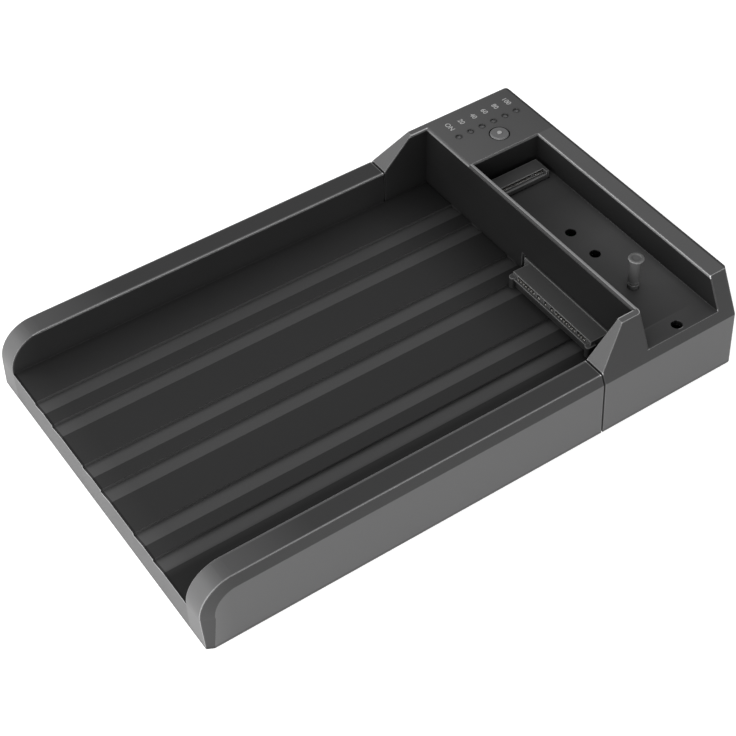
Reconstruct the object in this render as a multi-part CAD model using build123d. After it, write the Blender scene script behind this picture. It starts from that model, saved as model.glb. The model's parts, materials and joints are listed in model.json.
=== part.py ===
from build123d import *
import math
import os

# Hard drive docking station for one 3.5 inch drive and one plug-in card drive.
# Millimetres. X runs across, Y from the open front lip to the back wall, Z up.
# The origin lies on the table under the middle of the body.

# Overall body
length = 187.2
wall_width = 9.93
side_draft = 0.85
crease_height = 19.75
wall_height = 22.85
head_height = 33.5
foot_stand = 0.8
band_lean_share = 0.5
skin = 2.2
seam_from_back = 51.1
seam_gap = 0.6
shoulder_run = 10.8
nose_radius = 11.5
band_foot_spread = 1.3
edge_round = 0.4
corner_round = 1.2
overrun = 1.0
part_gap = 0.1

# Drive well
drive_width = 101.6
drive_side_gap = 0.87
floor_height = 11.0
floor_skin = 2.0
lip_skin = 2.5
well_end_from_back = 34.2
groove_depth = 1.0
groove_ramp = 6.0
groove_spacing = 11.0
groove_group_pitch = 30.1
groove_group_count = 3
grooves_per_group = 2
groove_shift = 1.0
floor_rib_skin = 1.2
floor_rib_depth = 2.4
floor_rib_pitch = 24.0
floor_rib_count = 3

# Card bay in the head
partition_skin = 1.35
partition_round = 0.9
bay_left_from_side = 33.1
bay_front_room = 1.9
bay_back_room = 2.45
bay_floor_height = 22.85
bay_floor_skin = 2.0
card_edge_from_bay = 4.5
card_lengths = (30.0, 42.0, 60.0, 80.0)
plug_hole_index = 2
plug_hole_radius = 1.8
bay_corner_round = 1.5

# Panel with lamps and copy button
panel_skin = 2.0
lamp_count = 6
lamp_pitch = 4.66
lamp_from_side = 19.5
lamp_first_from_well = 5.9
lamp_radius = 1.0
lamp_recess = 0.3
pipe_web_width = 3.2
pipe_web_skin = 2.0
pipe_reach = 2.1
button_from_side = 25.84
button_from_well = 17.5
button_radius = 3.1
button_hole_radius = 3.45
button_proud = 0.35
button_edge_bevel = 0.35
button_pip_radius = 0.8
button_pip_rise = 0.2
button_flange_radius = 4.3
button_flange_skin = 0.8
button_flange_gap = 0.3
button_travel = 0.5

# Base plate, feet and case screws
plate_skin = 2.0
plate_gap = 0.2
foot_radius = 6.0
foot_seat_depth = 0.8
foot_edge_round = 0.3
foot_inset_x = 17.0
foot_inset_y = 19.0
boss_radius = 3.2
boss_bore_radius = 1.1
screw_head_radius = 2.6
screw_head_skin = 1.2
screw_radius = 1.2
screw_length = 6.0
screw_socket_radius = 1.3
screw_socket_depth = 0.7
tray_boss_from_side = 21.6
tray_boss_from_front = 34.0
tray_boss_from_seam = 12.1
head_boss_from_side = 6.0
head_boss_front_from_well = 5.5
head_boss_rear_from_back = 7.0
vent_count = 9
vent_pitch = 5.0
vent_width = 2.0
vent_length = 18.0
vent_line_from_back = 17.0

# Main board
board_skin = 1.6
board_top_height = 11.2
board_side_gap = 11.6
board_from_well = 2.4
board_from_back = 2.8
board_notch_from_side = 30.6
board_notch_depth = 12.4
standoff_radius = 2.6
standoff_from_board_side = 4.0
standoff_from_notch = 4.5
standoff_edge = 4.0
board_screw_head_radius = 2.3
board_screw_head_skin = 1.2
board_screw_radius = 1.2
board_screw_length = 5.0

# Drive receptacle
sata_centre_from_wall = 28.07
sata_body_width = 38.0
sata_body_height = 5.9
sata_front_reach = 7.0
sata_rear_reach = 5.0
sata_ear_width = 2.2
sata_ear_out = 0.7
sata_ear_reach = 1.6
sata_ear_height = 4.0
sata_slot_height = 1.4
sata_slot_depth = 5.2
sata_slot_drop = 2.15
sata_lip_reach = 0.9
sata_lip_height = 0.8
sata_signal_slot = 8.4
sata_port_width = 1.7
sata_port_pitch = 3.5
sata_power_slot = 17.2
sata_side_wall = 2.3
sata_key_width = 0.7
sata_key_shares = (0.12, 0.73)
sata_cutout_left_gap = 4.6
sata_cutout_right_gap = 1.6
sata_cutout_top_gap = 0.3
sata_hood_step = 0.45
sata_hood_step_reach = 0.55
sata_hood_left_reach = 2.6
sata_contact_width = 0.6
sata_contact_skin = 0.25
sata_contact_pitch = 1.27

# Card socket and its board
socket_width = 21.9
socket_height_above_floor = 2.85
socket_upper_reach = 3.0
socket_lower_reach = 4.9
socket_rear_reach = 2.0
socket_lower_jaw = 1.6
socket_slot_height = 0.9
socket_slot_width = 20.1
socket_slot_depth = 3.4
socket_key_from_centre = 5.8
socket_key_width = 1.2
socket_end_wall = 0.9
socket_rib_width = 0.6
socket_groove_width = 0.8
socket_groove_depth = 0.4
socket_contact_pitch = 0.5
socket_contact_width = 0.25
socket_contact_skin = 0.2
socket_contact_reach = 0.4
socket_cutout_gap = 0.4
card_board_before_edge = 7.5
card_board_past_edge = 16.0
card_board_front_margin = 0.6
card_board_rear_margin = 1.45
spacer_radius = 2.3
spacer_bore_radius = 1.25
spacer_edge = 3.0
spacer_gap = 0.4
pin_pitch = 2.54
pin_width = 0.64
card_header_pins = 8
card_header_edge = 2.9
card_header_from_front = 0.9
panel_header_pins = 4
panel_header_edge = 2.8

# Card plug of soft rubber
plug_head_radius = 2.45
plug_shaft_radius = 1.9
plug_neck_radius = 1.35
plug_height = 11.95
plug_head_height = 0.8
plug_foot_height = 1.6
plug_neck_height = 1.0
plug_hole_clearance = 0.08
plug_seat = 2.9
plug_travel = 3.0
plug_dish_depth = 0.3
plug_dish_radius = 1.6

# Panel board, its switch and lamps
panel_board_drop = 5.1
panel_board_from_side = 11.0
panel_board_width = 19.0
panel_board_front_from_well = 3.6
panel_board_rear_from_back = 3.2
panel_boss_radius = 2.1
panel_boss_bore_radius = 0.8
panel_boss_left_from_side = 13.6
panel_boss_left_from_well = 6.6
panel_boss_right_from_side = 27.6
panel_boss_right_from_well = 25.0
panel_screw_radius = 0.9
panel_screw_head_radius = 1.8
panel_screw_head_skin = 1.0
panel_screw_length = 4.4
switch_size = 6.0
switch_height = 3.0
plunger_radius = 1.7
plunger_gap = 0.05
plunger_seat = 1.0
led_length = 1.6
led_width = 1.0
led_height = 0.8

# Rear sockets
usb_from_side = 58.6
usb_width = 8.94
usb_height = 3.26
usb_depth = 7.4
usb_shell_skin = 0.3
usb_hole_gap = 0.35
usb_tongue_width = 6.7
usb_tongue_skin = 0.7
usb_tongue_back = 1.2
usb_contact_count = 12
usb_contact_pitch = 0.5
usb_contact_width = 0.25
usb_contact_skin = 0.08
usb_contact_length = 3.6
jack_from_side = 30.6
jack_width = 9.0
jack_height = 9.2
jack_depth = 13.6
jack_bore_radius = 3.15
jack_bore_depth = 9.6
jack_pin_radius = 1.0
jack_nose_radius = 4.1
jack_nose_gap = 0.25
jack_leaf_width = 2.4
jack_leaf_skin = 0.3

# Power rocker at the back
rocker_from_side = 19.6
rocker_line_height = 16.0
rocker_well_width = 16.4
rocker_well_height = 12.0
rocker_well_depth = 3.2
rocker_bezel_width = 15.0
rocker_bezel_height = 10.6
rocker_bezel_skin = 1.2
rocker_body_width = 13.4
rocker_body_height = 10.0
rocker_body_depth = 10.0
rocker_cavity_depth = 6.6
rocker_radius = 6.0
rocker_gap = 0.35
rocker_cap_height = 7.6
rocker_cap_drop = 3.4
rocker_valley = 1.2
rocker_tilt = 8.0
rocker_pivot_sink = 0.95
rocker_pin_radius = 0.8
rocker_pin_gap = 0.06
rocker_pin_reach = 0.5
rocker_pin_end_gap = 0.3
terminal_width = 1.6
terminal_skin = 0.6
terminal_pitch = 4.6
terminal_count = 2
terminal_rear_reach = 3.5

# Chips and other board parts
bridge_chip_size = 8.0
bridge_chip_height = 1.0
card_chip_size = 7.0
card_chip_height = 0.9
memory_chip_length = 5.2
memory_chip_width = 4.0
memory_chip_height = 1.6
coil_size = 5.0
coil_height = 3.0
coil_corner = 0.8
can_radius = 3.15
can_height = 5.6
can_base_height = 0.8
can_groove = 0.3
crystal_length = 3.2
crystal_width = 2.5
crystal_height = 0.8
chip_capacitor_length = 1.6
chip_capacitor_width = 0.8
chip_capacitor_height = 0.8
chip_capacitor_pitch = 1.9
chip_capacitor_count = 5
bridge_from_receptacle = 6.6
card_chip_gap = 3.4
card_chip_from_receptacle = 2.6
crystal_gap = 1.9
memory_chip_gap = 4.3
chip_capacitor_gap = 1.4
coil_count = 2
coil_gap = 2.0
coil_from_jack = 5.0
coil_from_standoff = 5.5
can_count = 2
can_gap = 1.2
can_from_back = 4.5

# Worked out places
front_y = -length / 2
back_y = length / 2
base_z = foot_stand
crease_z = base_z + crease_height
wall_top_z = base_z + wall_height
head_top_z = base_z + head_height
floor_z = base_z + floor_height
floor_under_z = floor_z - groove_depth - floor_skin
bay_floor_z = base_z + bay_floor_height
bay_under_z = bay_floor_z - bay_floor_skin
plate_top_z = base_z + plate_skin
board_top_z = base_z + board_top_height
board_under_z = board_top_z - board_skin
half_well = drive_width / 2 + drive_side_gap
half_base = half_well + wall_width
half_crease = half_base - side_draft
seam_y = back_y - seam_from_back
well_end_y = back_y - well_end_from_back
bay_front_y = well_end_y + partition_skin
card_line_y = bay_front_y + bay_front_room + socket_width / 2
bay_back_y = card_line_y + socket_width / 2 + bay_back_room
button_y = well_end_y + button_from_well
first_lamp_y = well_end_y + lamp_first_from_well
panel_under_z = head_top_z - panel_skin
panel_board_top_z = panel_under_z - panel_board_drop
panel_board_under_z = panel_board_top_z - board_skin
card_board_top_z = bay_under_z
card_board_under_z = card_board_top_z - board_skin
bay_left = bay_left_from_side - half_base
card_edge_x = bay_left + card_edge_from_bay
plug_x = card_edge_x + card_lengths[plug_hole_index]
lamp_x = lamp_from_side - half_base
button_x = button_from_side - half_base
tray_boss_x = half_base - tray_boss_from_side
head_boss_x = half_base - head_boss_from_side
board_half_width = half_base - board_side_gap
board_notch_x = board_notch_from_side - half_base
sata_centre_x = half_well - sata_centre_from_wall
card_board_left = card_edge_x - card_board_before_edge
card_board_right = card_edge_x + card_board_past_edge
spacer_x = card_board_right - spacer_edge
card_header_x = card_board_left + card_header_edge
panel_board_left = panel_board_from_side - half_base
panel_board_right = panel_board_left + panel_board_width
panel_header_x = panel_board_right - panel_header_edge
panel_boss_left_x = panel_boss_left_from_side - half_base
panel_boss_right_x = panel_boss_right_from_side - half_base
usb_x = usb_from_side - half_base
jack_x = half_base - jack_from_side
rocker_x = rocker_from_side - half_base
board_front_y = well_end_y + board_from_well
board_back_y = back_y - board_from_back
board_notch_y = board_back_y - board_notch_depth
rocker_z = base_z + rocker_line_height
rocker_well_y = back_y - rocker_well_depth
rocker_face_y = rocker_well_y + rocker_bezel_skin
rocker_pivot_y = rocker_face_y - rocker_pivot_sink


def side_x(z):
    """Half the body's width at a height: drafted side, then the leaning band."""
    if z <= crease_z:
        return half_base - (half_base - half_crease) * (z - base_z) / crease_height
    return half_crease - band_lean_share * (z - crease_z)


def block(x_low, x_high, y_low, y_high, z_low, z_high):
    """A solid box between two corners."""
    size = (x_high - x_low, y_high - y_low, z_high - z_low)
    middle = ((x_low + x_high) / 2, (y_low + y_high) / 2, (z_low + z_high) / 2)
    return Pos(*middle) * Box(*size)


def post(x, y, z_low, z_high, radius):
    """A round post standing between two heights."""
    return Pos(x, y, (z_low + z_high) / 2) * Cylinder(radius, z_high - z_low)


def rear_bore(x, z, y_low, y_high, radius):
    """A round rod lying along Y."""
    turn = Rot(90, 0, 0)
    return Pos(x, (y_low + y_high) / 2, z) * turn * Cylinder(radius, y_high - y_low)


def across(points, y_low, y_high):
    """An outline in X and Z carried from one Y to another."""
    outline = Plane.XZ * make_face(Polyline(*points, close=True))
    return Pos(0, y_high, 0) * extrude(outline, y_high - y_low)


def hexagon_socket(x, y, z, depth, direction):
    """A six-sided driver recess whose mouth is at z."""
    radius = screw_socket_radius
    middle = z + direction * depth / 2
    return Pos(x, y, middle) * extrude(RegularPolygon(radius, 6), depth / 2, both=True)


def body_section(top_z):
    """The outside of the case seen from the front, up to a height."""
    return [
        (-half_base, base_z),
        (half_base, base_z),
        (half_crease, crease_z),
        (side_x(top_z), top_z),
        (-side_x(top_z), top_z),
        (-half_crease, crease_z),
    ]


def nosed_slab(back):
    """The tray's side view, with its round nose and the band cut along its edges."""
    side = Polyline(
        (front_y, wall_top_z - nose_radius),
        (front_y, base_z),
        (back, base_z),
        (back, wall_top_z),
        (front_y + nose_radius, wall_top_z),
    )
    nose = RadiusArc(
        (front_y + nose_radius, wall_top_z),
        (front_y, wall_top_z - nose_radius),
        -nose_radius,
    )
    slab = extrude(Plane.YZ * make_face([*side.edges(), nose]), half_base, both=True)
    inward = half_base - side_x(wall_top_z)
    down = inward / band_lean_share
    foot_z = wall_top_z - nose_radius
    for sign in (-1, 1):
        side_face = slab.faces().sort_by(Axis.X)[0 if sign < 0 else -1]
        edges = [edge for edge in side_face.edges() if is_band_edge(edge, back)]
        slab = chamfer(edges, down, inward, reference=side_face)
        low_x, high_x = sorted((sign * (half_base - inward), sign * half_base))
        slab += block(low_x, high_x, front_y, front_y + down, base_z, foot_z)
        slab -= corner_wedge(sign, inward, down, foot_z)
    return slab


def corner_wedge(sign, inward, down, foot_z):
    """What the band takes off the front corner below the nose, opening out to the foot."""
    ends = []
    for z, spread in ((foot_z, 0), (base_z, band_foot_spread)):
        run = (foot_z - z) / (foot_z - base_z)
        grown = z - overrun * run
        shift = sign * (half_base - inward + spread * (1 + overrun * run / (foot_z - base_z)))
        past = overrun / down
        corners = [
            (shift - sign * inward * past, front_y - overrun, grown),
            (shift + sign * inward * (1 + past), front_y + down + overrun, grown),
            (shift + sign * inward * (1 + past), front_y - overrun, grown),
        ]
        ends.append(Polyline(*corners, close=True))
    return Solid.make_loft(ends, True)


def is_band_edge(edge, back):
    """True for the top, nose and front edges that the leaning band follows."""
    middle = edge.center()
    at_bottom = middle.Z < base_z + edge_round
    at_back = middle.Y > back - edge_round
    return not at_bottom and not at_back


def groove_starts():
    """X of each small drop in the drive well's floor, from left to right."""
    group_width = groove_spacing * (grooves_per_group - 1) + groove_ramp
    first = groove_shift - groove_group_pitch * (groove_group_count - 1) / 2 - group_width / 2
    return [
        first + group * groove_group_pitch + index * groove_spacing
        for group in range(groove_group_count)
        for index in range(grooves_per_group)
    ]


def floor_line(half_width):
    """The saw-tooth top of the floor, from left to right."""
    points = [(-half_width, floor_z)]
    for start in groove_starts():
        points.append((start, floor_z))
        points.append((start, floor_z - groove_depth))
        points.append((start + groove_ramp, floor_z))
    points.append((half_width, floor_z))
    return points


def cradle_tray():
    """Front shell: stepped floor between two hollow side walls with round noses."""
    tray_end = seam_y - seam_gap / 2
    shell = nosed_slab(tray_end) & across(body_section(wall_top_z), front_y - overrun, tray_end)
    well_top = wall_top_z + overrun
    well = floor_line(half_well) + [(half_well, well_top), (-half_well, well_top)]
    shell -= across(well, front_y - overrun, tray_end + overrun)
    shell = fillet(tray_rim_edges(shell), edge_round)
    hollow_top = wall_top_z - skin
    inner = half_well + floor_skin
    below = base_z - overrun
    for sign in (-1, 1):
        pocket = [
            (sign * inner, below),
            (sign * (side_x(base_z) - skin), below),
            (sign * (side_x(crease_z) - skin), crease_z - skin),
            (sign * (side_x(hollow_top) - skin), hollow_top),
            (sign * inner, hollow_top),
        ]
        shell -= across(pocket, front_y + nose_radius, tray_end - skin)
    under = half_crease - skin
    shell -= block(-under, under, front_y + lip_skin, tray_end - skin, below, floor_under_z)
    shell -= block(-under, under, front_y + lip_skin, tray_end + overrun, below, plate_top_z)
    tongue = floor_line(half_well - part_gap)
    tongue_half = half_well - part_gap
    tongue += [(tongue_half, floor_under_z), (-tongue_half, floor_under_z)]
    open_from = tray_end - skin - overrun
    shell -= block(-half_well, half_well, open_from, tray_end + overrun, below, floor_under_z)
    shell += across(tongue, tray_end - skin, well_end_y - part_gap)
    for index in range(floor_rib_count):
        x = (index - (floor_rib_count - 1) / 2) * floor_rib_pitch
        half = floor_rib_skin / 2
        low = floor_under_z - floor_rib_depth
        rib_end = well_end_y - part_gap
        shell += block(x - half, x + half, front_y + lip_skin, rib_end, low, floor_under_z + part_gap)
    for x, y in tray_boss_places():
        shell += post(x, y, plate_top_z, floor_under_z + part_gap, boss_radius)
        shell -= post(x, y, plate_top_z - overrun, floor_under_z, boss_bore_radius)
    return shell


def tray_rim_edges(shell):
    """Long top edges of the side walls, with the nose arcs that carry them on."""
    rim = []
    for edge in shell.edges():
        box = edge.bounding_box()
        above_floor = box.max.Z > floor_z + nose_radius / 2
        along_y = box.size.Y > nose_radius / 2
        on_wall = box.min.Z > floor_z - groove_depth
        if above_floor and along_y and on_wall and box.size.X < edge_round:
            rim.append(edge)
    return rim


def tray_boss_places():
    """Where the four case screws of the tray stand."""
    lines = (front_y + tray_boss_from_front, seam_y - tray_boss_from_seam)
    return [(sign * tray_boss_x, y) for sign in (-1, 1) for y in lines]


def head_boss_places():
    """Where the four case screws of the head stand."""
    lines = (well_end_y + head_boss_front_from_well, back_y - head_boss_rear_from_back)
    return [(sign * head_boss_x, y) for sign in (-1, 1) for y in lines]


def head_outside():
    """Rear housing before it is hollowed: leaning sides and sloped shoulders."""
    start = seam_y + seam_gap / 2
    slope = (head_height - wall_height) / shoulder_run
    block_out = across(body_section(head_top_z), start, back_y)
    shoulder_z = wall_top_z + slope * (start - seam_y)
    side = Polyline(
        (start, base_z),
        (back_y, base_z),
        (back_y, head_top_z),
        (seam_y + shoulder_run, head_top_z),
        (start, shoulder_z),
        close=True,
    )
    shape = block_out & extrude(Plane.YZ * make_face(side), half_base, both=True)
    uprights = [edge for edge in shape.edges() if is_back_upright(edge)]
    return fillet(uprights, corner_round)


def is_back_upright(edge):
    """True for the corner edges that climb the back of the head."""
    box = edge.bounding_box()
    return box.min.Y > back_y - edge_round and box.size.Z > edge_round


def head_cavity():
    """The room for the boards under the panel and the card bay."""
    below = base_z - overrun
    inside_back = back_y - skin
    wide = half_crease - skin
    high_side = side_x(panel_under_z) - skin
    under_bay = block(-wide, wide, bay_front_y, inside_back, below, bay_under_z)
    panel_room = block(-high_side, bay_left - skin, bay_front_y, inside_back, below, panel_under_z)
    wing_top = wall_top_z - skin
    plate_room = block(-wide, wide, seam_y - overrun, inside_back, below, plate_top_z)
    cavity = under_bay + panel_room + plate_room
    for sign in (-1, 1):
        pocket = [
            (sign * (half_well + skin), below),
            (sign * (side_x(base_z) - skin), below),
            (sign * (side_x(crease_z) - skin), crease_z - skin),
            (sign * (side_x(wing_top) - skin), wing_top),
            (sign * (half_well + skin), wing_top),
        ]
        cavity += across(pocket, seam_y + seam_gap / 2 + skin, bay_front_y + overrun)
    return cavity


def rocker_well_blocks():
    """The recess that the power rocker sits in, and the walls round it."""
    half_w = rocker_well_width / 2
    half_h = rocker_well_height / 2
    room = block(
        rocker_x - half_w,
        rocker_x + half_w,
        rocker_well_y,
        back_y + overrun,
        rocker_z - half_h,
        rocker_z + half_h,
    )
    walls = block(
        rocker_x - half_w - skin,
        rocker_x + half_w + skin,
        rocker_well_y - skin,
        back_y - edge_round,
        rocker_z - half_h - skin,
        rocker_z + half_h + skin,
    )
    return room, walls


def head_housing():
    """Rear housing: shoulders, thin partition, card bay, lamp panel and rear sockets."""
    below = base_z - overrun
    shell = head_outside()
    shell -= block(-half_well, half_well, front_y, well_end_y, below, head_top_z + overrun)
    bay_right = half_base + overrun
    shell -= block(bay_left, bay_right, bay_front_y, bay_back_y, bay_floor_z, head_top_z + overrun)
    shell = fillet(wedge_corner_edges(shell), bay_corner_round)
    shell = fillet(partition_lip_edges(shell), partition_round)
    shell = fillet(head_rim_edges(shell), edge_round)
    shell -= head_cavity()
    room, walls = rocker_well_blocks()
    shell += walls
    for x, y in head_boss_places():
        shell += post(x, y, plate_top_z, bay_under_z + part_gap, boss_radius)
    for x, y in panel_boss_places():
        shell += post(x, y, panel_board_top_z, panel_under_z + part_gap, panel_boss_radius)
        shell -= post(x, y, panel_board_top_z - overrun, panel_under_z, panel_boss_bore_radius)
    for x, y in head_boss_places():
        shell -= post(x, y, below, bay_under_z - skin, boss_bore_radius)
    shell -= room
    shell -= rocker_frame_hole()
    shell -= head_openings()
    return shell


def rocker_frame_hole():
    """The square hole in the bottom of the rocker's recess."""
    half_w = rocker_body_width / 2 + part_gap
    half_h = rocker_body_height / 2 + part_gap
    return block(
        rocker_x - half_w,
        rocker_x + half_w,
        rocker_well_y - skin - overrun,
        rocker_well_y + overrun,
        rocker_z - half_h,
        rocker_z + half_h,
    )


def head_openings():
    """Holes through the head for sockets, lamps, the button and the card plug."""
    top = head_top_z + overrun
    cuts = block(
        sata_centre_x - sata_body_width / 2 - sata_cutout_left_gap,
        sata_centre_x + sata_body_width / 2 + sata_cutout_right_gap,
        well_end_y - overrun,
        bay_front_y + overrun,
        base_z - overrun,
        board_top_z + sata_body_height + sata_cutout_top_gap,
    )
    cuts += block(
        card_edge_x - socket_rear_reach - socket_cutout_gap,
        card_edge_x + socket_lower_reach + socket_cutout_gap,
        card_line_y - socket_width / 2 - socket_cutout_gap,
        card_line_y + socket_width / 2 + socket_cutout_gap,
        bay_under_z - overrun,
        bay_floor_z + overrun,
    )
    for card_length in card_lengths:
        x = card_edge_x + card_length
        cuts += post(x, card_line_y, bay_under_z - overrun, bay_floor_z + overrun, plug_hole_radius)
    for y in lamp_lines():
        cuts += post(lamp_x, y, panel_under_z - overrun, top, lamp_radius)
    cuts += post(button_x, button_y, panel_under_z - overrun, top, button_hole_radius)
    half_usb = usb_width / 2 + usb_hole_gap
    cuts += block(
        usb_x - half_usb,
        usb_x + half_usb,
        back_y - skin - overrun,
        back_y + overrun,
        board_top_z - usb_hole_gap,
        board_top_z + usb_height + usb_hole_gap,
    )
    jack_z = board_top_z + jack_height / 2
    nose = jack_nose_radius + jack_nose_gap
    cuts += rear_bore(jack_x, jack_z, back_y - skin - overrun, back_y + overrun, nose)
    return cuts


def wedge_corner_edges(shell):
    """The upright corner where the right shoulder meets the card bay."""
    found = []
    for edge in shell.edges():
        box = edge.bounding_box()
        upright = box.size.Z > panel_skin and box.size.Y < edge_round
        at_bay = abs(box.min.Y - bay_front_y) < edge_round
        on_side = box.min.X > half_well and box.min.Z > bay_floor_z - edge_round
        if upright and at_bay and on_side:
            found.append(edge)
    return found


def partition_lip_edges(shell):
    """The long front edge of the partition's top."""
    found = []
    for edge in shell.edges():
        box = edge.bounding_box()
        along_x = box.size.X > half_well and box.size.Y < edge_round
        at_lip = abs(box.min.Y - well_end_y) < edge_round and box.min.Z > head_top_z - edge_round
        if along_x and at_lip:
            found.append(edge)
    return found


def head_rim_edges(shell):
    """Edges round the card bay's mouth, the shoulders and the back rim."""
    found = []
    for edge in shell.edges():
        box = edge.bounding_box()
        level = box.size.Z < part_gap
        at_top = level and box.min.Z > head_top_z - part_gap
        at_bay_side = at_top and box.size.Y > socket_width / 2 and abs(box.min.X - bay_left) < part_gap
        at_bay_back = at_top and box.size.X > half_well / 2 and abs(box.min.Y - bay_back_y) < part_gap
        shoulder = box.size.Y > shoulder_run / 2 and box.size.Z > shoulder_run / 2
        shoulder = shoulder and box.min.Z > wall_top_z - edge_round
        if at_bay_side or at_bay_back or shoulder:
            found.append(edge)
    return found


def lamp_lines():
    """Y of each lamp window."""
    return [first_lamp_y + index * lamp_pitch for index in range(lamp_count)]


def panel_boss_places():
    """Where the two screws of the panel board stand."""
    return [
        (panel_boss_left_x, well_end_y + panel_boss_left_from_well),
        (panel_boss_right_x, well_end_y + panel_boss_right_from_well),
    ]


def plate_reach():
    """Half the width and the front and back ends of the base plate."""
    half = half_crease - skin - plate_gap
    return half, front_y + lip_skin + plate_gap, back_y - skin - plate_gap


def base_plate():
    """Bottom cover that ties tray and head together, with standoffs and vents."""
    half, low, high = plate_reach()
    plate = block(-half, half, low, high, base_z, plate_top_z)
    uprights = plate.edges().filter_by(Axis.Z)
    plate = fillet(uprights, corner_round)
    for x, y in standoff_places():
        plate += post(x, y, plate_top_z - part_gap, board_under_z, standoff_radius)
        plate -= post(x, y, plate_top_z, board_under_z + overrun, boss_bore_radius)
    for x, y in tray_boss_places() + head_boss_places():
        plate -= post(x, y, base_z - overrun, plate_top_z + overrun, screw_radius + plate_gap)
        plate -= post(x, y, base_z - overrun, base_z + screw_head_skin, screw_head_radius + plate_gap)
    for x, y in foot_places():
        plate -= post(x, y, base_z - overrun, base_z + foot_seat_depth, foot_radius + part_gap)
    for index in range(vent_count):
        x = (index - (vent_count - 1) / 2) * vent_pitch
        y = back_y - vent_line_from_back
        half_run = vent_length / 2
        half_gap = vent_width / 2
        past = plate_top_z + overrun
        plate -= block(x - half_gap, x + half_gap, y - half_run, y + half_run, base_z - overrun, past)
    return plate


def foot_places():
    """Middles of the four rubber feet."""
    x = half_base - foot_inset_x
    y = back_y - foot_inset_y
    return [(-x, -y), (x, -y), (-x, y), (x, y)]


def rubber_feet():
    """Four round rubber feet let into the base plate."""
    feet = []
    for x, y in foot_places():
        foot = post(x, y, base_z - foot_stand, base_z + foot_seat_depth, foot_radius)
        rim = foot.edges().sort_by(Axis.Z)[0]
        feet.append(chamfer(rim, foot_edge_round))
    return Compound(children=feet)


def standoff_places():
    """Where the main board is screwed to the base plate."""
    front = board_front_y + standoff_edge
    back = board_back_y - standoff_edge
    side = board_half_width - standoff_from_board_side
    return [
        (-side, front),
        (side, front),
        (side, back),
        (board_notch_x + standoff_from_notch, back),
    ]


def screw(x, y, seat_z, head_radius, head_skin, shank_radius, shank_length, direction):
    """A screw whose head lies on seat_z and whose shank goes the given way in Z."""
    head_far = seat_z - direction * head_skin
    head = post(x, y, min(seat_z, head_far), max(seat_z, head_far), head_radius)
    tip = seat_z + direction * shank_length
    shank = post(x, y, min(seat_z, tip), max(seat_z, tip), shank_radius)
    whole = head + shank
    depth = min(screw_socket_depth, head_skin / 2)
    return whole - hexagon_socket(x, y, head_far, depth, direction)


def case_screws():
    """Eight screws that hold the base plate to the tray and the head."""
    places = tray_boss_places() + head_boss_places()
    screws = []
    for x, y in places:
        seat = base_z + screw_head_skin
        head = (screw_head_radius, screw_head_skin)
        shank = boss_bore_radius - part_gap
        screws.append(screw(x, y, seat, *head, shank, screw_length, 1))
    return Compound(children=screws)


def board_screws():
    """Four screws that hold the main board to its standoffs."""
    head = (board_screw_head_radius, board_screw_head_skin)
    shank = boss_bore_radius - part_gap
    places = standoff_places()
    screws = [screw(x, y, board_top_z, *head, shank, board_screw_length, -1) for x, y in places]
    return Compound(children=screws)


def main_board():
    """The board that carries both bridges, the drive receptacle and rear sockets."""
    half = board_half_width
    board = block(-half, half, board_front_y, board_back_y, board_under_z, board_top_z)
    board -= block(
        -half - overrun,
        board_notch_x,
        board_notch_y,
        board_back_y + overrun,
        board_under_z - overrun,
        board_top_z + overrun,
    )
    for x, y in standoff_places():
        board -= post(x, y, board_under_z - overrun, board_top_z + overrun, board_screw_radius)
    return board


def card_board_lines():
    """Front and back ends of the card board."""
    half = socket_width / 2
    return card_line_y - half - card_board_front_margin, card_line_y + half + card_board_rear_margin


def spacer_places():
    """Where the two brass spacers stand between the boards."""
    front = receptacle_rear() + spacer_radius + spacer_gap
    return [(spacer_x, front), (spacer_x, card_board_lines()[1] - spacer_edge)]


def card_board():
    """Small board under the bay floor that carries the card socket."""
    low, high = card_board_lines()
    board = block(card_board_left, card_board_right, low, high, card_board_under_z, card_board_top_z)
    for x, y in spacer_places():
        board -= post(x, y, card_board_under_z - overrun, card_board_top_z + overrun, spacer_bore_radius)
    return board


def board_spacers():
    """Two hexagonal brass spacers between the main board and the card board."""
    spacers = []
    tall = card_board_under_z - board_top_z
    for x, y in spacer_places():
        body = Pos(x, y, board_top_z) * extrude(RegularPolygon(spacer_radius, 6), tall)
        bore = post(x, y, board_top_z - overrun, card_board_under_z + overrun, spacer_bore_radius)
        spacers.append(body - bore)
    return Compound(children=spacers)


def header_pins(x, y_middle, count, z_low, z_high):
    """Two rows of square pins from board to board."""
    half = pin_width / 2
    pins = []
    for row in (-1, 1):
        for index in range(count):
            px = x + row * pin_pitch / 2
            py = y_middle + (index - (count - 1) / 2) * pin_pitch
            pins.append(block(px - half, px + half, py - half, py + half, z_low, z_high))
    return Compound(children=pins)


def header_body(x, y_middle, count, z_low, z_high):
    """The moulded block round a header's pins."""
    half_x = pin_pitch
    half_y = count * pin_pitch / 2
    body = block(x - half_x, x + half_x, y_middle - half_y, y_middle + half_y, z_low, z_high)
    half = pin_width / 2
    for row in (-1, 1):
        for index in range(count):
            px = x + row * pin_pitch / 2
            py = y_middle + (index - (count - 1) / 2) * pin_pitch
            body -= block(px - half, px + half, py - half, py + half, z_low - overrun, z_high + overrun)
    return body


def card_header_place():
    """Middle, pin count and heights of the header from the main board to the card board."""
    front = card_board_lines()[0] + card_header_from_front
    y_middle = front + card_header_pins * pin_pitch / 2
    return card_header_x, y_middle, card_header_pins, board_top_z, card_board_under_z


def panel_header_place():
    """Middle, pin count and heights of the header from the main board to the panel board."""
    front = well_end_y + panel_board_front_from_well
    y_middle = front + (panel_header_pins / 2 + 1) * pin_pitch
    return panel_header_x, y_middle, panel_header_pins, board_top_z, panel_board_under_z


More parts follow.
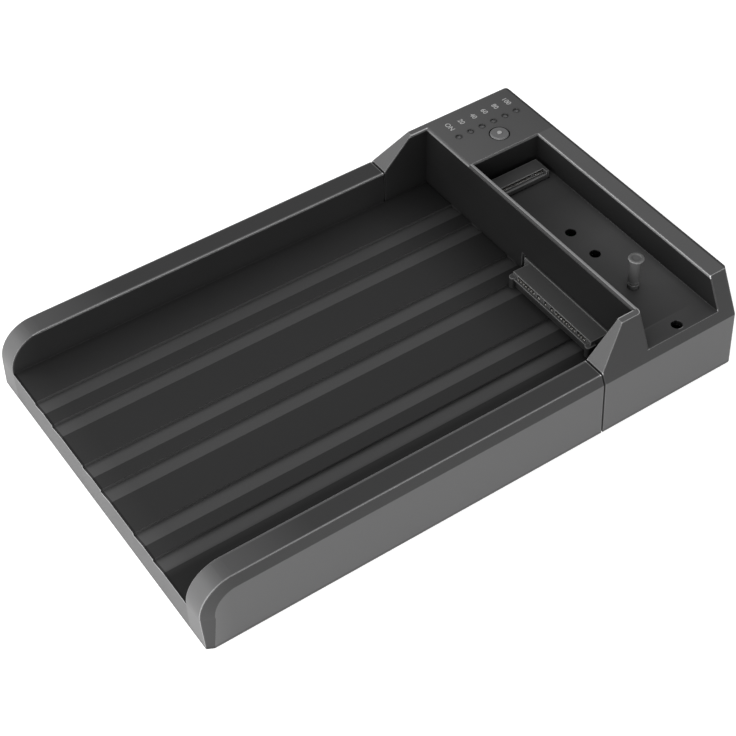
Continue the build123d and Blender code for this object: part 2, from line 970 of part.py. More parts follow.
def sata_sections():
    """Low and high X of every slot in the receptacle's face."""
    left = sata_centre_x - sata_body_width / 2 + sata_side_wall
    right = sata_centre_x + sata_body_width / 2 - sata_side_wall
    signal = (left, left + sata_signal_slot)
    ports_middle = (signal[1] + right - sata_power_slot) / 2
    ports = []
    for side in (-1, 1):
        port = ports_middle + side * sata_port_pitch / 2
        ports.append((port - sata_port_width / 2, port + sata_port_width / 2))
    edges = [right - sata_power_slot]
    for share in sata_key_shares:
        key = right - sata_power_slot * (1 - share)
        edges += [key - sata_key_width / 2, key + sata_key_width / 2]
    edges.append(right)
    power = list(zip(edges[0::2], edges[1::2]))
    return [signal, *ports, *power]


def sata_heights():
    """Bottom, slot floor, slot roof and top of the receptacle."""
    low = board_top_z
    top = low + sata_body_height
    roof = top - sata_slot_drop + sata_slot_height
    return low, roof - sata_slot_height, roof, top


def sata_receptacle():
    """Drive receptacle: long body with slots, a lower lip, a stepped hood and ears."""
    low, slot_low, slot_high, top = sata_heights()
    half = sata_body_width / 2
    face_y = well_end_y - sata_front_reach
    rear_y = well_end_y + sata_rear_reach
    body = block(sata_centre_x - half, sata_centre_x + half, face_y, rear_y, low, top)
    step_y = well_end_y - sata_hood_step_reach
    body -= block(
        sata_centre_x - half - overrun,
        sata_centre_x + half + overrun,
        face_y - overrun,
        step_y,
        top - sata_hood_step,
        top + overrun,
    )
    flange_x = sata_centre_x - half - sata_hood_left_reach
    body += block(flange_x, sata_centre_x - half + part_gap, step_y, rear_y, low, top)
    lip_low = slot_low - sata_lip_height
    lip_y = face_y - sata_lip_reach
    body += block(sata_centre_x - half, sata_centre_x + half, lip_y, face_y + part_gap, lip_low, slot_low)
    for sign in (-1, 1):
        outer = sata_centre_x + sign * (half + sata_ear_out)
        x_pair = sorted((outer, outer - sign * sata_ear_width))
        ear = block(*x_pair, face_y - sata_ear_reach, face_y + sata_ear_reach, low, low + sata_ear_height)
        uprights = ear.edges().filter_by(Axis.Z).sort_by(Axis.Y)[:2]
        body += fillet(uprights, sata_ear_width / 2 - part_gap)
    for x_low, x_high in sata_sections():
        mouth_y = face_y - sata_lip_reach - overrun
        body -= block(x_low, x_high, mouth_y, face_y + sata_slot_depth, slot_low, slot_high)
    return body


def sata_contacts():
    """Spring contacts on the slot floors, as many as fit in each slot."""
    slot_low = sata_heights()[1]
    face_y = well_end_y - sata_front_reach
    half = sata_contact_width / 2
    contacts = []
    for x_low, x_high in sata_sections():
        count = int((x_high - x_low - sata_contact_width) / sata_contact_pitch) + 1
        for index in range(count):
            x = (x_low + x_high) / 2 + (index - (count - 1) / 2) * sata_contact_pitch
            rear = face_y + sata_slot_depth
            top = slot_low + sata_contact_skin
            contacts.append(block(x - half, x + half, face_y, rear, slot_low, top))
    return Compound(children=contacts)


def socket_heights():
    """Bottom, slot floor, slot roof and top of the card socket."""
    top = bay_floor_z + socket_height_above_floor
    slot_low = bay_floor_z + socket_lower_jaw
    return card_board_top_z, slot_low, slot_low + socket_slot_height, top


def card_socket():
    """Card socket: lower jaw that stands out further than the upper, a key and end posts."""
    low, slot_low, slot_high, top = socket_heights()
    half = socket_width / 2
    rear = card_edge_x - socket_rear_reach
    sides = (card_line_y - half, card_line_y + half)
    body = block(rear, card_edge_x + socket_lower_reach, *sides, low, slot_low)
    body += block(rear, card_edge_x + socket_upper_reach, *sides, slot_low - part_gap, top)
    for sign in (-1, 1):
        end = card_line_y + sign * half
        inner = end - sign * socket_end_wall
        body += block(
            card_edge_x,
            card_edge_x + socket_lower_reach,
            min(end, inner),
            max(end, inner),
            slot_low - part_gap,
            top,
        )
    slot_half = socket_slot_width / 2
    body -= block(
        card_edge_x + socket_upper_reach - socket_slot_depth,
        card_edge_x + socket_upper_reach + overrun,
        card_line_y - slot_half,
        card_line_y + slot_half,
        slot_low,
        slot_high,
    )
    rib_x = card_edge_x + socket_lower_reach - socket_rib_width
    body -= block(
        rib_x - socket_groove_width,
        rib_x,
        card_line_y - slot_half,
        card_line_y + slot_half,
        slot_low - socket_groove_depth,
        slot_low + part_gap,
    )
    key_y = card_line_y + socket_key_from_centre
    half_key = socket_key_width / 2
    body += block(
        card_edge_x + socket_upper_reach - socket_slot_depth - part_gap,
        card_edge_x + socket_upper_reach,
        key_y - half_key,
        key_y + half_key,
        slot_low - part_gap,
        slot_high,
    )
    return body


def card_socket_contacts():
    """Fine spring contacts lying on the socket's lower jaw."""
    slot_low = socket_heights()[1]
    half = socket_contact_width / 2
    key_y = card_line_y + socket_key_from_centre
    count = int((socket_slot_width - socket_contact_pitch) / socket_contact_pitch)
    contacts = []
    for index in range(count):
        y = card_line_y + (index - (count - 1) / 2) * socket_contact_pitch
        if abs(y - key_y) > socket_key_width / 2 + socket_contact_pitch / 2:
            x_low = card_edge_x + socket_upper_reach - socket_slot_depth
            x_high = card_edge_x + socket_upper_reach + socket_contact_reach
            contact_top = slot_low + socket_contact_skin
            contacts.append(block(x_low, x_high, y - half, y + half, slot_low, contact_top))
    return Compound(children=contacts)


def card_plug():
    """Soft rubber plug: dished head, plain shaft, narrow neck that grips the card, foot and stem."""
    z = bay_floor_z
    stem_radius = plug_hole_radius - plug_hole_clearance
    foot_top = z + plug_foot_height
    neck_top = foot_top + plug_neck_height
    head_low = z + plug_height - plug_head_height
    top = z + plug_height
    outline = Polyline(
        (0, z - plug_seat),
        (stem_radius - plug_hole_clearance, z - plug_seat),
        (stem_radius, z - plug_seat + plug_neck_height),
        (stem_radius, foot_top),
        (plug_neck_radius, foot_top),
        (plug_neck_radius, neck_top),
        (plug_shaft_radius, neck_top),
        (plug_shaft_radius, head_low),
        (plug_head_radius, head_low),
        (plug_head_radius, top),
        (plug_dish_radius, top),
        (plug_dish_radius - plug_dish_depth, top - plug_dish_depth),
        (0, top - plug_dish_depth),
        close=True,
    )
    plug = revolve(Plane.XZ * make_face(outline), Axis.Z)
    rims = [edge for edge in plug.edges() if is_plug_rim(edge, head_low)]
    return Pos(plug_x, card_line_y, 0) * chamfer(rims, plug_dish_depth)


def is_plug_rim(edge, head_low):
    """True for the two outer circles of the plug's head."""
    box = edge.bounding_box()
    wide = box.size.X > 2 * plug_shaft_radius + plug_dish_depth
    return wide and box.min.Z > head_low - plug_dish_depth


def copy_button():
    """Round button cap with a raised pip and a flange that keeps it under the panel."""
    top = head_top_z + button_proud
    flange_top = panel_under_z - button_flange_gap
    flange_low = flange_top - button_flange_skin
    cap = post(0, 0, flange_low, top, button_radius)
    cap = chamfer(cap.edges().sort_by(Axis.Z)[-1], button_edge_bevel)
    cap += post(0, 0, flange_low, flange_top, button_flange_radius)
    cap += post(0, 0, top - part_gap, top + button_pip_rise, button_pip_radius)
    return Pos(button_x, button_y, 0) * cap


def switch_heights():
    """Top of the switch body and top of its plunger at rest."""
    body_top = panel_board_top_z + switch_height
    plunger_top = panel_under_z - button_flange_gap - button_flange_skin
    return body_top, plunger_top


def switch_body():
    """Square push switch on the panel board, with a well for its plunger."""
    top, _ = switch_heights()
    half = switch_size / 2
    body = block(button_x - half, button_x + half, button_y - half, button_y + half, panel_board_top_z, top)
    body = fillet(body.edges().filter_by(Axis.Z), edge_round)
    seat = top - plunger_seat - button_travel
    return body - post(button_x, button_y, seat, top + overrun, plunger_radius + plunger_gap)


def switch_plunger():
    """Round plunger that the button pushes down."""
    top, plunger_top = switch_heights()
    return post(button_x, button_y, top - plunger_seat + part_gap, plunger_top, plunger_radius)


def light_pipe():
    """One clear moulding: a web under the panel with a rod up to every lamp window."""
    lines = lamp_lines()
    half = pipe_web_width / 2
    low = panel_under_z - pipe_web_skin
    web = block(lamp_x - half, lamp_x + half, lines[0] - half, lines[-1] + half, low, panel_under_z)
    for y in lines:
        web += post(lamp_x, y, low - pipe_reach, head_top_z - lamp_recess, lamp_radius - part_gap)
    return web


def status_lamps():
    """One small lamp on the panel board under each rod."""
    lamps = []
    for y in lamp_lines():
        lamps.append(
            block(
                lamp_x - led_width / 2,
                lamp_x + led_width / 2,
                y - led_length / 2,
                y + led_length / 2,
                panel_board_top_z,
                panel_board_top_z + led_height,
            )
        )
    return Compound(children=lamps)


def panel_board():
    """Board under the panel that carries the lamps and the push switch."""
    low = well_end_y + panel_board_front_from_well
    high = back_y - panel_board_rear_from_back
    board = block(panel_board_left, panel_board_right, low, high, panel_board_under_z, panel_board_top_z)
    for x, y in panel_boss_places():
        bore_radius = panel_screw_radius + part_gap
        board -= post(x, y, panel_board_under_z - overrun, panel_board_top_z + overrun, bore_radius)
    return board


def panel_screws():
    """Two small screws that hold the panel board up to its bosses."""
    head = (panel_screw_head_radius, panel_screw_head_skin)
    shank = panel_boss_bore_radius - part_gap
    places = panel_boss_places()
    screws = [screw(x, y, panel_board_under_z, *head, shank, panel_screw_length, 1) for x, y in places]
    return Compound(children=screws)


def stadium(width, height, depth):
    """A slot-shaped prism along Y, with round ends."""
    outline = Plane.XZ * SlotOverall(width, height)
    return extrude(outline, depth / 2, both=True)


def usb_shell():
    """Folded metal shell of the flat oval data socket."""
    z = board_top_z + usb_height / 2
    y = back_y - usb_depth / 2
    outer = stadium(usb_width, usb_height, usb_depth)
    inner = stadium(usb_width - 2 * usb_shell_skin, usb_height - 2 * usb_shell_skin, usb_depth)
    shell = outer - Pos(0, usb_tongue_back, 0) * inner
    return Pos(usb_x, y, z) * shell


def usb_tongue():
    """The moulded tongue in the middle of the data socket."""
    z = board_top_z + usb_height / 2
    half = usb_tongue_width / 2
    low = back_y - usb_depth + usb_tongue_back
    half_skin = usb_tongue_skin / 2
    high = back_y - usb_tongue_back
    return block(usb_x - half, usb_x + half, low, high, z - half_skin, z + half_skin)


def usb_contacts():
    """Contacts on both faces of the tongue."""
    z = board_top_z + usb_height / 2
    half = usb_contact_width / 2
    high = back_y - 2 * usb_tongue_back
    contacts = []
    for side in (-1, 1):
        face = z + side * usb_tongue_skin / 2
        far = face + side * usb_contact_skin
        for index in range(usb_contact_count):
            x = usb_x + (index - (usb_contact_count - 1) / 2) * usb_contact_pitch
            low = high - usb_contact_length
            contacts.append(block(x - half, x + half, low, high, min(face, far), max(face, far)))
    return Compound(children=contacts)


def power_jack():
    """Moulded power inlet with a round nose that shows in the back wall."""
    half = jack_width / 2
    z = board_top_z + jack_height / 2
    face_y = back_y - skin
    lengthways = (face_y - jack_depth, face_y - part_gap)
    body = block(jack_x - half, jack_x + half, *lengthways, board_top_z, board_top_z + jack_height)
    body += rear_bore(jack_x, z, face_y - overrun, back_y - edge_round, jack_nose_radius)
    body -= rear_bore(jack_x, z, back_y - jack_bore_depth, back_y + overrun, jack_bore_radius)
    return body


def jack_pin():
    """Centre pin of the power inlet."""
    z = board_top_z + jack_height / 2
    seat = back_y - jack_bore_depth
    tip = back_y - jack_nose_gap - edge_round - overrun
    pin = rear_bore(jack_x, z, seat, tip, jack_pin_radius)
    end = pin.edges().sort_by(Axis.Y)[-1]
    return chamfer(end, jack_pin_radius / 2)


def jack_leaf():
    """Side spring leaf of the power inlet."""
    z = board_top_z + jack_height / 2
    side = jack_bore_radius
    low = back_y - jack_bore_depth
    high = back_y - 2 * skin
    chord = math.sqrt(side ** 2 - (jack_leaf_width / 2) ** 2)
    half = jack_leaf_width / 2
    x_high = jack_x + chord
    return block(x_high - jack_leaf_skin, x_high, low, high, z - half, z + half)


def rocker_frame():
    """Frame of the power rocker: bezel, body and the room that the cap tilts in."""
    half_w = rocker_bezel_width / 2
    half_h = rocker_bezel_height / 2
    bezel_heights = (rocker_z - half_h, rocker_z + half_h)
    bezel = block(rocker_x - half_w, rocker_x + half_w, rocker_well_y, rocker_face_y, *bezel_heights)
    rim = bezel.faces().sort_by(Axis.Y)[-1].edges()
    bezel = fillet(rim, edge_round)
    body_w = rocker_body_width / 2
    body_h = rocker_body_height / 2
    low = rocker_well_y - rocker_body_depth
    body_heights = (rocker_z - body_h, rocker_z + body_h)
    body = block(rocker_x - body_w, rocker_x + body_w, low, rocker_well_y + part_gap, *body_heights)
    room_w = rocker_radius + rocker_gap
    room_h = rocker_cap_height / 2 + rocker_gap
    floor_y = rocker_face_y - rocker_cavity_depth
    frame = bezel + body
    room_heights = (rocker_z - room_h, rocker_z + room_h)
    frame -= block(rocker_x - room_w, rocker_x + room_w, floor_y, rocker_face_y + overrun, *room_heights)
    reach = rocker_cap_height / 2 + rocker_pin_reach + rocker_pin_end_gap
    bore = rocker_pin_radius + rocker_pin_gap
    frame -= Pos(rocker_x, rocker_pivot_y, rocker_z) * Cylinder(bore, 2 * reach)
    return frame


def rocker_cap():
    """Tilting cap of the power rocker, with two faces at a shallow angle and side pins."""
    radius = rocker_radius
    drop = -rocker_cap_drop
    tilt = math.radians(rocker_tilt)
    reach = radius - edge_round
    rise = rocker_valley + reach * math.tan(tilt)
    half_floor = math.sqrt(radius ** 2 - rocker_cap_drop ** 2)
    flank = math.sqrt(radius ** 2 - rise ** 2)
    outline = Polyline((-flank, rise), (0, rocker_valley), (flank, rise))
    right = RadiusArc((flank, rise), (half_floor, drop), radius)
    bottom = Line((half_floor, drop), (-half_floor, drop))
    left = RadiusArc((-half_floor, drop), (-flank, rise), radius)
    face = make_face([*outline.edges(), right, bottom, left])
    cap = extrude(face, rocker_cap_height / 2, both=True)
    cap += Cylinder(rocker_pin_radius, rocker_cap_height + 2 * rocker_pin_reach)
    return Pos(rocker_x, rocker_pivot_y, rocker_z) * Rot(0, 0, rocker_tilt) * cap


def rocker_terminals():
    """Metal legs that carry the rocker's current down to the main board."""
    legs = []
    body_low = rocker_z - rocker_body_height / 2
    y = rocker_well_y - rocker_body_depth
    half = terminal_width / 2
    for index in range(terminal_count):
        x = rocker_x + (index - (terminal_count - 1) / 2) * terminal_pitch
        rear = y - terminal_rear_reach
        top = rocker_z + terminal_skin / 2
        foot = block(x - half, x + half, rear, y, top - terminal_skin, top)
        leg = block(x - half, x + half, rear, rear + terminal_skin, board_top_z, top)
        legs.append(foot + leg)
    return Compound(children=legs)


def quad_chip(x, y, z, size, height):
    """A square chip with a small corner cut that marks its first leg."""
    half = size / 2
    chip = block(x - half, x + half, y - half, y + half, z, z + height)
    corner = chip.edges().filter_by(Axis.Z).sort_by(Axis.X)[0]
    return chamfer(corner, height / 2)


def receptacle_rear():
    """Y of the drive receptacle's rear face."""
    return well_end_y + sata_rear_reach


def bridge_line():
    """Y of the drive bridge's middle."""
    return receptacle_rear() + bridge_from_receptacle


def card_chip_place():
    """X and Y of the card bridge's middle."""
    x = sata_centre_x - bridge_chip_size / 2 - card_chip_gap - card_chip_size / 2
    return x, receptacle_rear() + card_chip_from_receptacle + card_chip_size / 2


def bridge_chip():
    """Drive bridge on the main board."""
    return quad_chip(sata_centre_x, bridge_line(), board_top_z, bridge_chip_size, bridge_chip_height)


def card_bridge_chip():
    """Card bridge on the main board, between the card header and the drive bridge."""
    return quad_chip(*card_chip_place(), board_top_z, card_chip_size, card_chip_height)


def memory_chip_place():
    """X and Y of the memory chip's middle."""
    x = sata_centre_x + bridge_chip_size / 2 + memory_chip_gap + memory_chip_width / 2
    return x, bridge_line()


def memory_chip():
    """Small memory chip beside the drive bridge."""
    half_l = memory_chip_length / 2
    half_w = memory_chip_width / 2
    x, y = memory_chip_place()
    top = board_top_z + memory_chip_height
    return block(x - half_w, x + half_w, y - half_l, y + half_l, board_top_z, top)


def power_coils():
    """Two square power coils beside the inlet."""
    coils = []
    half = coil_size / 2
    x = jack_x + jack_width / 2 + coil_from_jack
    y = board_back_y - standoff_edge - coil_from_standoff - half
    for index in range(coil_count):
        y_middle = y - index * (coil_size + coil_gap)
        top = board_top_z + coil_height
        coil = block(x - half, x + half, y_middle - half, y_middle + half, board_top_z, top)
        coils.append(chamfer(coil.edges().filter_by(Axis.Z), coil_corner))
    return Compound(children=coils)


def power_capacitors():
    """Two round can capacitors between the inlet and the data socket."""
    cans = []
    x = (jack_x - jack_width / 2 + usb_x + usb_width / 2) / 2
    y = board_back_y - can_from_back
    for index in range(can_count):
        y_middle = y - index * (2 * can_radius + can_gap)
        half = can_radius
        base_top = board_top_z + can_base_height
        base = block(x - half, x + half, y_middle - half, y_middle + half, board_top_z, base_top)
        base = chamfer(base.edges().filter_by(Axis.Z), can_groove)
        can = post(x, y_middle, board_top_z, board_top_z + can_height, can_radius - can_groove)
        can = chamfer(can.edges().sort_by(Axis.Z)[-1], can_groove)
        cans.append(base + can)
    return Compound(children=cans)


def crystal():
    """Metal clock crystal behind the memory chip."""
    x, y = memory_chip_place()
    y += memory_chip_length / 2 + crystal_gap
    half_l = crystal_length / 2
    half_w = crystal_width / 2
    top = board_top_z + crystal_height
    can = block(x - half_l, x + half_l, y - half_w, y + half_w, board_top_z, top)
    return fillet(can.edges().filter_by(Axis.Z), edge_round)


def chip_capacitors():
    """Small ceramic capacitors between the receptacle and the drive bridge."""
    rows = []
    half_l = chip_capacitor_length / 2
    half_w = chip_capacitor_width / 2
    y = receptacle_rear() + chip_capacitor_gap
    for index in range(chip_capacitor_count):
        x = sata_centre_x + (index - (chip_capacitor_count - 1) / 2) * chip_capacitor_pitch
        top = board_top_z + chip_capacitor_height
        rows.append(block(x - half_w, x + half_w, y - half_l, y + half_l, board_top_z, top))
    return Compound(children=rows)


def all_nodes():
    """Every sub-part under its node name."""
    return {
        "cradle_tray": cradle_tray(),
        "head_housing": head_housing(),
        "base_plate": base_plate(),
        "rubber_feet": rubber_feet(),
        "case_screws": case_screws(),
        "main_board": main_board(),
        "board_screws": board_screws(),
        "card_board": card_board(),
        "board_spacers": board_spacers(),
        "card_header": header_body(*card_header_place()),
        "card_header_pins": header_pins(*card_header_place()),
        "panel_header": header_body(*panel_header_place()),
        "panel_header_pins": header_pins(*panel_header_place()),
        "sata_receptacle": sata_receptacle(),
        "sata_contacts": sata_contacts(),
        "card_socket": card_socket(),
        "card_socket_contacts": card_socket_contacts(),
        "card_plug": card_plug(),
        "copy_button": copy_button(),
        "switch_body": switch_body(),
        "switch_plunger": switch_plunger(),
        "light_pipe": light_pipe(),
        "status_lamps": status_lamps(),
        "panel_board": panel_board(),
        "panel_screws": panel_screws(),
        "usb_shell": usb_shell(),
        "usb_tongue": usb_tongue(),
        "usb_contacts": usb_contacts(),
        "power_jack": power_jack(),
        "jack_pin": jack_pin(),
        "jack_leaf": jack_leaf(),
        "rocker_frame": rocker_frame(),
        "rocker_cap": rocker_cap(),
        "rocker_terminals": rocker_terminals(),
        "bridge_chip": bridge_chip(),
        "card_bridge_chip": card_bridge_chip(),
        "memory_chip": memory_chip(),
        "power_coils": power_coils(),
        "power_capacitors": power_capacitors(),
        "crystal": crystal(),
        "chip_capacitors": chip_capacitors(),
    }


os.makedirs("parts", exist_ok=True)
for name, shape in all_nodes().items():
    export_step(shape, f"parts/{name}.step")
    print(name, round(shape.volume, 1))
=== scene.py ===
# %% [markdown]
# A flat docking station for one 3.5 inch drive and one plug-in card drive.
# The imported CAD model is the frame: every node already has its true shape and place.
# This lesson gives each piece its finish, adds the small printed and soldered details,
# and sets up the studio and the camera.

import json
import math

import bmesh
import bpy
from mathutils import Matrix, Vector


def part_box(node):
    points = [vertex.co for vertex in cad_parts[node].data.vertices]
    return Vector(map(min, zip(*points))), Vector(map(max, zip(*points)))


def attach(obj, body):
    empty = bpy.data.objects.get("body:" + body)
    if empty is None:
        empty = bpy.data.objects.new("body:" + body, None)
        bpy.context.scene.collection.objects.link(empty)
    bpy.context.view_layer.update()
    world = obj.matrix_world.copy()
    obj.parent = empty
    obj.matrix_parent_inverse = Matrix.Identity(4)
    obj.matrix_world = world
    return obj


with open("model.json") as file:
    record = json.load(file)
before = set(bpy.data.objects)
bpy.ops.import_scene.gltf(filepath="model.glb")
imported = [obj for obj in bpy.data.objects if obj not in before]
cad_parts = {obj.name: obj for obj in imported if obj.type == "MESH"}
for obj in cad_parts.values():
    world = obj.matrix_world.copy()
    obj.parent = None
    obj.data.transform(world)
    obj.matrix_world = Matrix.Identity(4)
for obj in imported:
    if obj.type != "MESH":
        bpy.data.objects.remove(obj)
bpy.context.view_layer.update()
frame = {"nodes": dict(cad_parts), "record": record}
nodes = frame["nodes"]

# %% [markdown]
# Blender works in metres, and a part like this is measured in millimetres.
# One named unit keeps every size below readable as a real size. The places of the main forms come partly
# from the nodes' own boxes, so that the finishes follow the frame, and the well's and the bay's are given
# as sizes.

# %% Units and places taken from the frame
mm = 0.001
case_body = "case"
tray_low, tray_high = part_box("cradle_tray")
head_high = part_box("head_housing")[1]
lamps_low, lamps_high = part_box("light_pipe")
wall_top = tray_high[2]
panel_top = head_high[2]
front_y = tray_low[1]
back_y = head_high[1]
well_half = 51.67 * mm
well_end_y = 59.4 * mm
seam_y = 42.5 * mm
bay_front_y = 60.75 * mm
bay_back_y = 87.0 * mm
bay_left_x = -28.5 * mm
bay_floor_z = 23.65 * mm
print("wall top", round(wall_top / mm, 2), "mm, panel top", round(panel_top / mm, 2), "mm")

# %% [markdown]
# Moulded plastic is never one flat colour. Spark erosion leaves a fine grain in the mould. The proud edges
# get a painted highlight, lighter than the faces beside them, and the inner corners get painted shade.
# Small node groups give these effects to every material: grain, edges, and a mask for the places that get
# painted shade or painted light.
# Each group puts out only masks, heights and normals, and the shader stays in the material.


# %% A helper that starts a node group with named sockets
def start_group(name, inputs, outputs):
    """A new shader group with its sockets; returns the tree and its two end nodes."""
    tree = bpy.data.node_groups.new(name, "ShaderNodeTree")
    for label, kind, value in inputs:
        socket = tree.interface.new_socket(label, in_out="INPUT", socket_type=kind)
        if value is not None:
            socket.default_value = value
    for label, kind in outputs:
        tree.interface.new_socket(label, in_out="OUTPUT", socket_type=kind)
    return tree, tree.nodes.new("NodeGroupInput"), tree.nodes.new("NodeGroupOutput")


def wire(tree, value, socket):
    """Feeds a socket from another socket, or sets it to a plain value."""
    if isinstance(value, bpy.types.NodeSocket):
        tree.links.new(value, socket)
    else:
        socket.default_value = value


def math_node(tree, operation, first, second, clamp=False):
    """A math node fed by sockets or plain numbers; returns its result socket."""
    node = tree.nodes.new("ShaderNodeMath")
    node.operation = operation
    node.use_clamp = clamp
    wire(tree, first, node.inputs[0])
    wire(tree, second, node.inputs[1])
    return node.outputs["Value"]


def vector_node(tree, operation, first, second):
    """A vector math node fed by sockets or plain triples; returns its vector socket."""
    node = tree.nodes.new("ShaderNodeVectorMath")
    node.operation = operation
    wire(tree, first, node.inputs[0])
    wire(tree, second, node.inputs[1])
    return node.outputs["Vector"]


# %% Grain group: the fine pitted skin of moulded plastic
grain_per_metre = 3000.0
patches_per_metre = 60.0
grain_detail = 2.0
patch_detail = 3.0


def make_grain_group():
    """Height of the grain and a slow tone that makes patches slightly lighter or darker."""
    inputs = [
        ("Vector", "NodeSocketVector", None),
        ("Grain per metre", "NodeSocketFloat", grain_per_metre),
        ("Patch per metre", "NodeSocketFloat", patches_per_metre),
    ]
    outputs = [("Height", "NodeSocketFloat"), ("Tone", "NodeSocketFloat")]
    tree, start, end = start_group("moulded_grain", inputs, outputs)
    pits = tree.nodes.new("ShaderNodeTexNoise")
    patches = tree.nodes.new("ShaderNodeTexNoise")
    pits.inputs["Detail"].default_value = grain_detail
    patches.inputs["Detail"].default_value = patch_detail
    tree.links.new(start.outputs["Vector"], pits.inputs["Vector"])
    tree.links.new(start.outputs["Vector"], patches.inputs["Vector"])
    tree.links.new(start.outputs["Grain per metre"], pits.inputs["Scale"])
    tree.links.new(start.outputs["Patch per metre"], patches.inputs["Scale"])
    tree.links.new(pits.outputs["Fac"], end.inputs["Height"])
    tree.links.new(patches.outputs["Fac"], end.inputs["Tone"])
    return tree


# %% [markdown]
# A mould leaves crisp edges, and a rounded edge catches the light. Ambient occlusion measured inside the
# solid is low only beside a proud edge, so it finds the edges of any shape, and they get a painted
# highlight, broken up by noise. Measured outside, it finds the inner corners, which get painted shade. A
# bevel node rounds the normal at an edge, which then catches the light as a real radius does.

# %% Edge group: proud edges with a painted highlight, and inner corners with painted shade
edge_radius = 0.25 * mm
edge_reach_share = 2.0
breaks_per_metre = 250.0
bevel_samples = 6
edge_samples = 12
corner_samples = 8
edge_strength = 5.0
edge_loss = 0.1
edge_floor = 0.6
corner_reach_share = 5.0


def make_edge_group():
    """Masks for the painted highlight on proud edges and the painted shade in inner corners, and a normal
    that rounds edges.
    """
    inputs = [
        ("Vector", "NodeSocketVector", None),
        ("Radius", "NodeSocketFloat", edge_radius),
        ("Reach", "NodeSocketFloat", edge_reach_share * edge_radius),
        ("Breaks per metre", "NodeSocketFloat", breaks_per_metre),
    ]
    outputs = [("Edge", "NodeSocketFloat"), ("Corner", "NodeSocketFloat"), ("Normal", "NodeSocketVector")]
    tree, start, end = start_group("soft_edges", inputs, outputs)
    bevel = tree.nodes.new("ShaderNodeBevel")
    bevel.samples = bevel_samples
    tree.links.new(start.outputs["Radius"], bevel.inputs["Radius"])
    inner = tree.nodes.new("ShaderNodeAmbientOcclusion")
    inner.inside = True
    inner.only_local = True
    outer = tree.nodes.new("ShaderNodeAmbientOcclusion")
    inner.samples = edge_samples
    outer.samples = corner_samples
    tree.links.new(start.outputs["Reach"], inner.inputs["Distance"])
    wide = math_node(tree, "MULTIPLY", start.outputs["Reach"], corner_reach_share)
    tree.links.new(wide, outer.inputs["Distance"])
    breaks = tree.nodes.new("ShaderNodeTexNoise")
    tree.links.new(start.outputs["Vector"], breaks.inputs["Vector"])
    tree.links.new(start.outputs["Breaks per metre"], breaks.inputs["Scale"])
    thin = math_node(tree, "SUBTRACT", 1.0 - edge_loss, inner.outputs["AO"])
    strong = math_node(tree, "MULTIPLY", thin, edge_strength, clamp=True)
    painted_highlight = math_node(tree, "ADD", breaks.outputs["Fac"], edge_floor, clamp=True)
    tree.links.new(math_node(tree, "MULTIPLY", strong, painted_highlight, clamp=True), end.inputs["Edge"])
    closed = math_node(tree, "SUBTRACT", 1.0, outer.outputs["AO"], clamp=True)
    tree.links.new(closed, end.inputs["Corner"])
    tree.links.new(bevel.outputs["Normal"], end.inputs["Normal"])
    return tree


# %% [markdown]
# Some parts of the case get painted shade or painted light, a darker or brighter colour. A box is the
# simplest way to say where: the group compares a point with the box's two corners and gives a soft mask.

# %% Inside group: a soft mask of everything within a box
def make_inside_group():
    """One inside the box, and nothing outside it, with a soft border on each axis."""
    inputs = [
        ("Vector", "NodeSocketVector", None),
        ("Low", "NodeSocketVector", None),
        ("High", "NodeSocketVector", None),
        ("Feathers per metre", "NodeSocketVector", None),
    ]
    tree, start, end = start_group("inside_a_box", inputs, [("Inside", "NodeSocketFloat")])
    above = vector_node(tree, "SUBTRACT", start.outputs["Vector"], start.outputs["Low"])
    below = vector_node(tree, "SUBTRACT", start.outputs["High"], start.outputs["Vector"])
    nearest = vector_node(tree, "MINIMUM", above, below)
    feathers = vector_node(tree, "MULTIPLY", nearest, start.outputs["Feathers per metre"])
    parts = tree.nodes.new("ShaderNodeSeparateXYZ")
    tree.links.new(feathers, parts.inputs["Vector"])
    flat = math_node(tree, "MINIMUM", parts.outputs["X"], parts.outputs["Y"])
    inside = math_node(tree, "MINIMUM", flat, parts.outputs["Z"], clamp=True)
    tree.links.new(inside, end.inputs["Inside"])
    return tree


# %% [markdown]
# A narrow band along the outside of the walls leans in, and gets painted shade, darker than the side below,
# as light falls on it less. Its normal tells it apart: it points outwards and a little up, so the normal's
# share along X lies between two bounds.

# %% Leaning group: a mask of the faces that lean in like the band along the walls
lean_low = 0.7
lean_high = 0.96
lean_border = 0.02


def make_leaning_group():
    """One on faces that lean in a little, and nothing on upright and level faces."""
    inputs = [("Vector", "NodeSocketVector", None)]
    tree, start, end = start_group("leaning_faces", inputs, [("Leaning", "NodeSocketFloat")])
    face = tree.nodes.new("ShaderNodeNewGeometry")
    parts = tree.nodes.new("ShaderNodeSeparateXYZ")
    tree.links.new(face.outputs["True Normal"], parts.inputs["Vector"])
    outward = math_node(tree, "ABSOLUTE", parts.outputs["X"], 0.0)
    past = math_node(tree, "SUBTRACT", outward, lean_low)
    short = math_node(tree, "SUBTRACT", lean_high, outward)
    nearest = math_node(tree, "MINIMUM", past, short)
    tree.links.new(math_node(tree, "DIVIDE", nearest, lean_border, clamp=True), end.inputs["Leaning"])
    return tree


grain_group = make_grain_group()
edge_group = make_edge_group()
inside_group = make_inside_group()
leaning_group = make_leaning_group()
print("shader groups:", grain_group.name, edge_group.name, inside_group.name, leaning_group.name)

# %% [markdown]
# One builder makes all finishes, because they differ only in numbers: base colour, roughness, how deep the
# grain is, how much lighter the edges' painted highlight is, and how dark the inner corners' painted shade
# is. A plain look holds the usual numbers, and each finish names only those that it changes.
# Constant values go straight on the shader's sockets; only what changes over
# the surface is wired in.

# %% The finish builder
black = [0.0, 0.0, 0.0]
factor_place, first_place, second_place, result_place = 0, 6, 7, 2
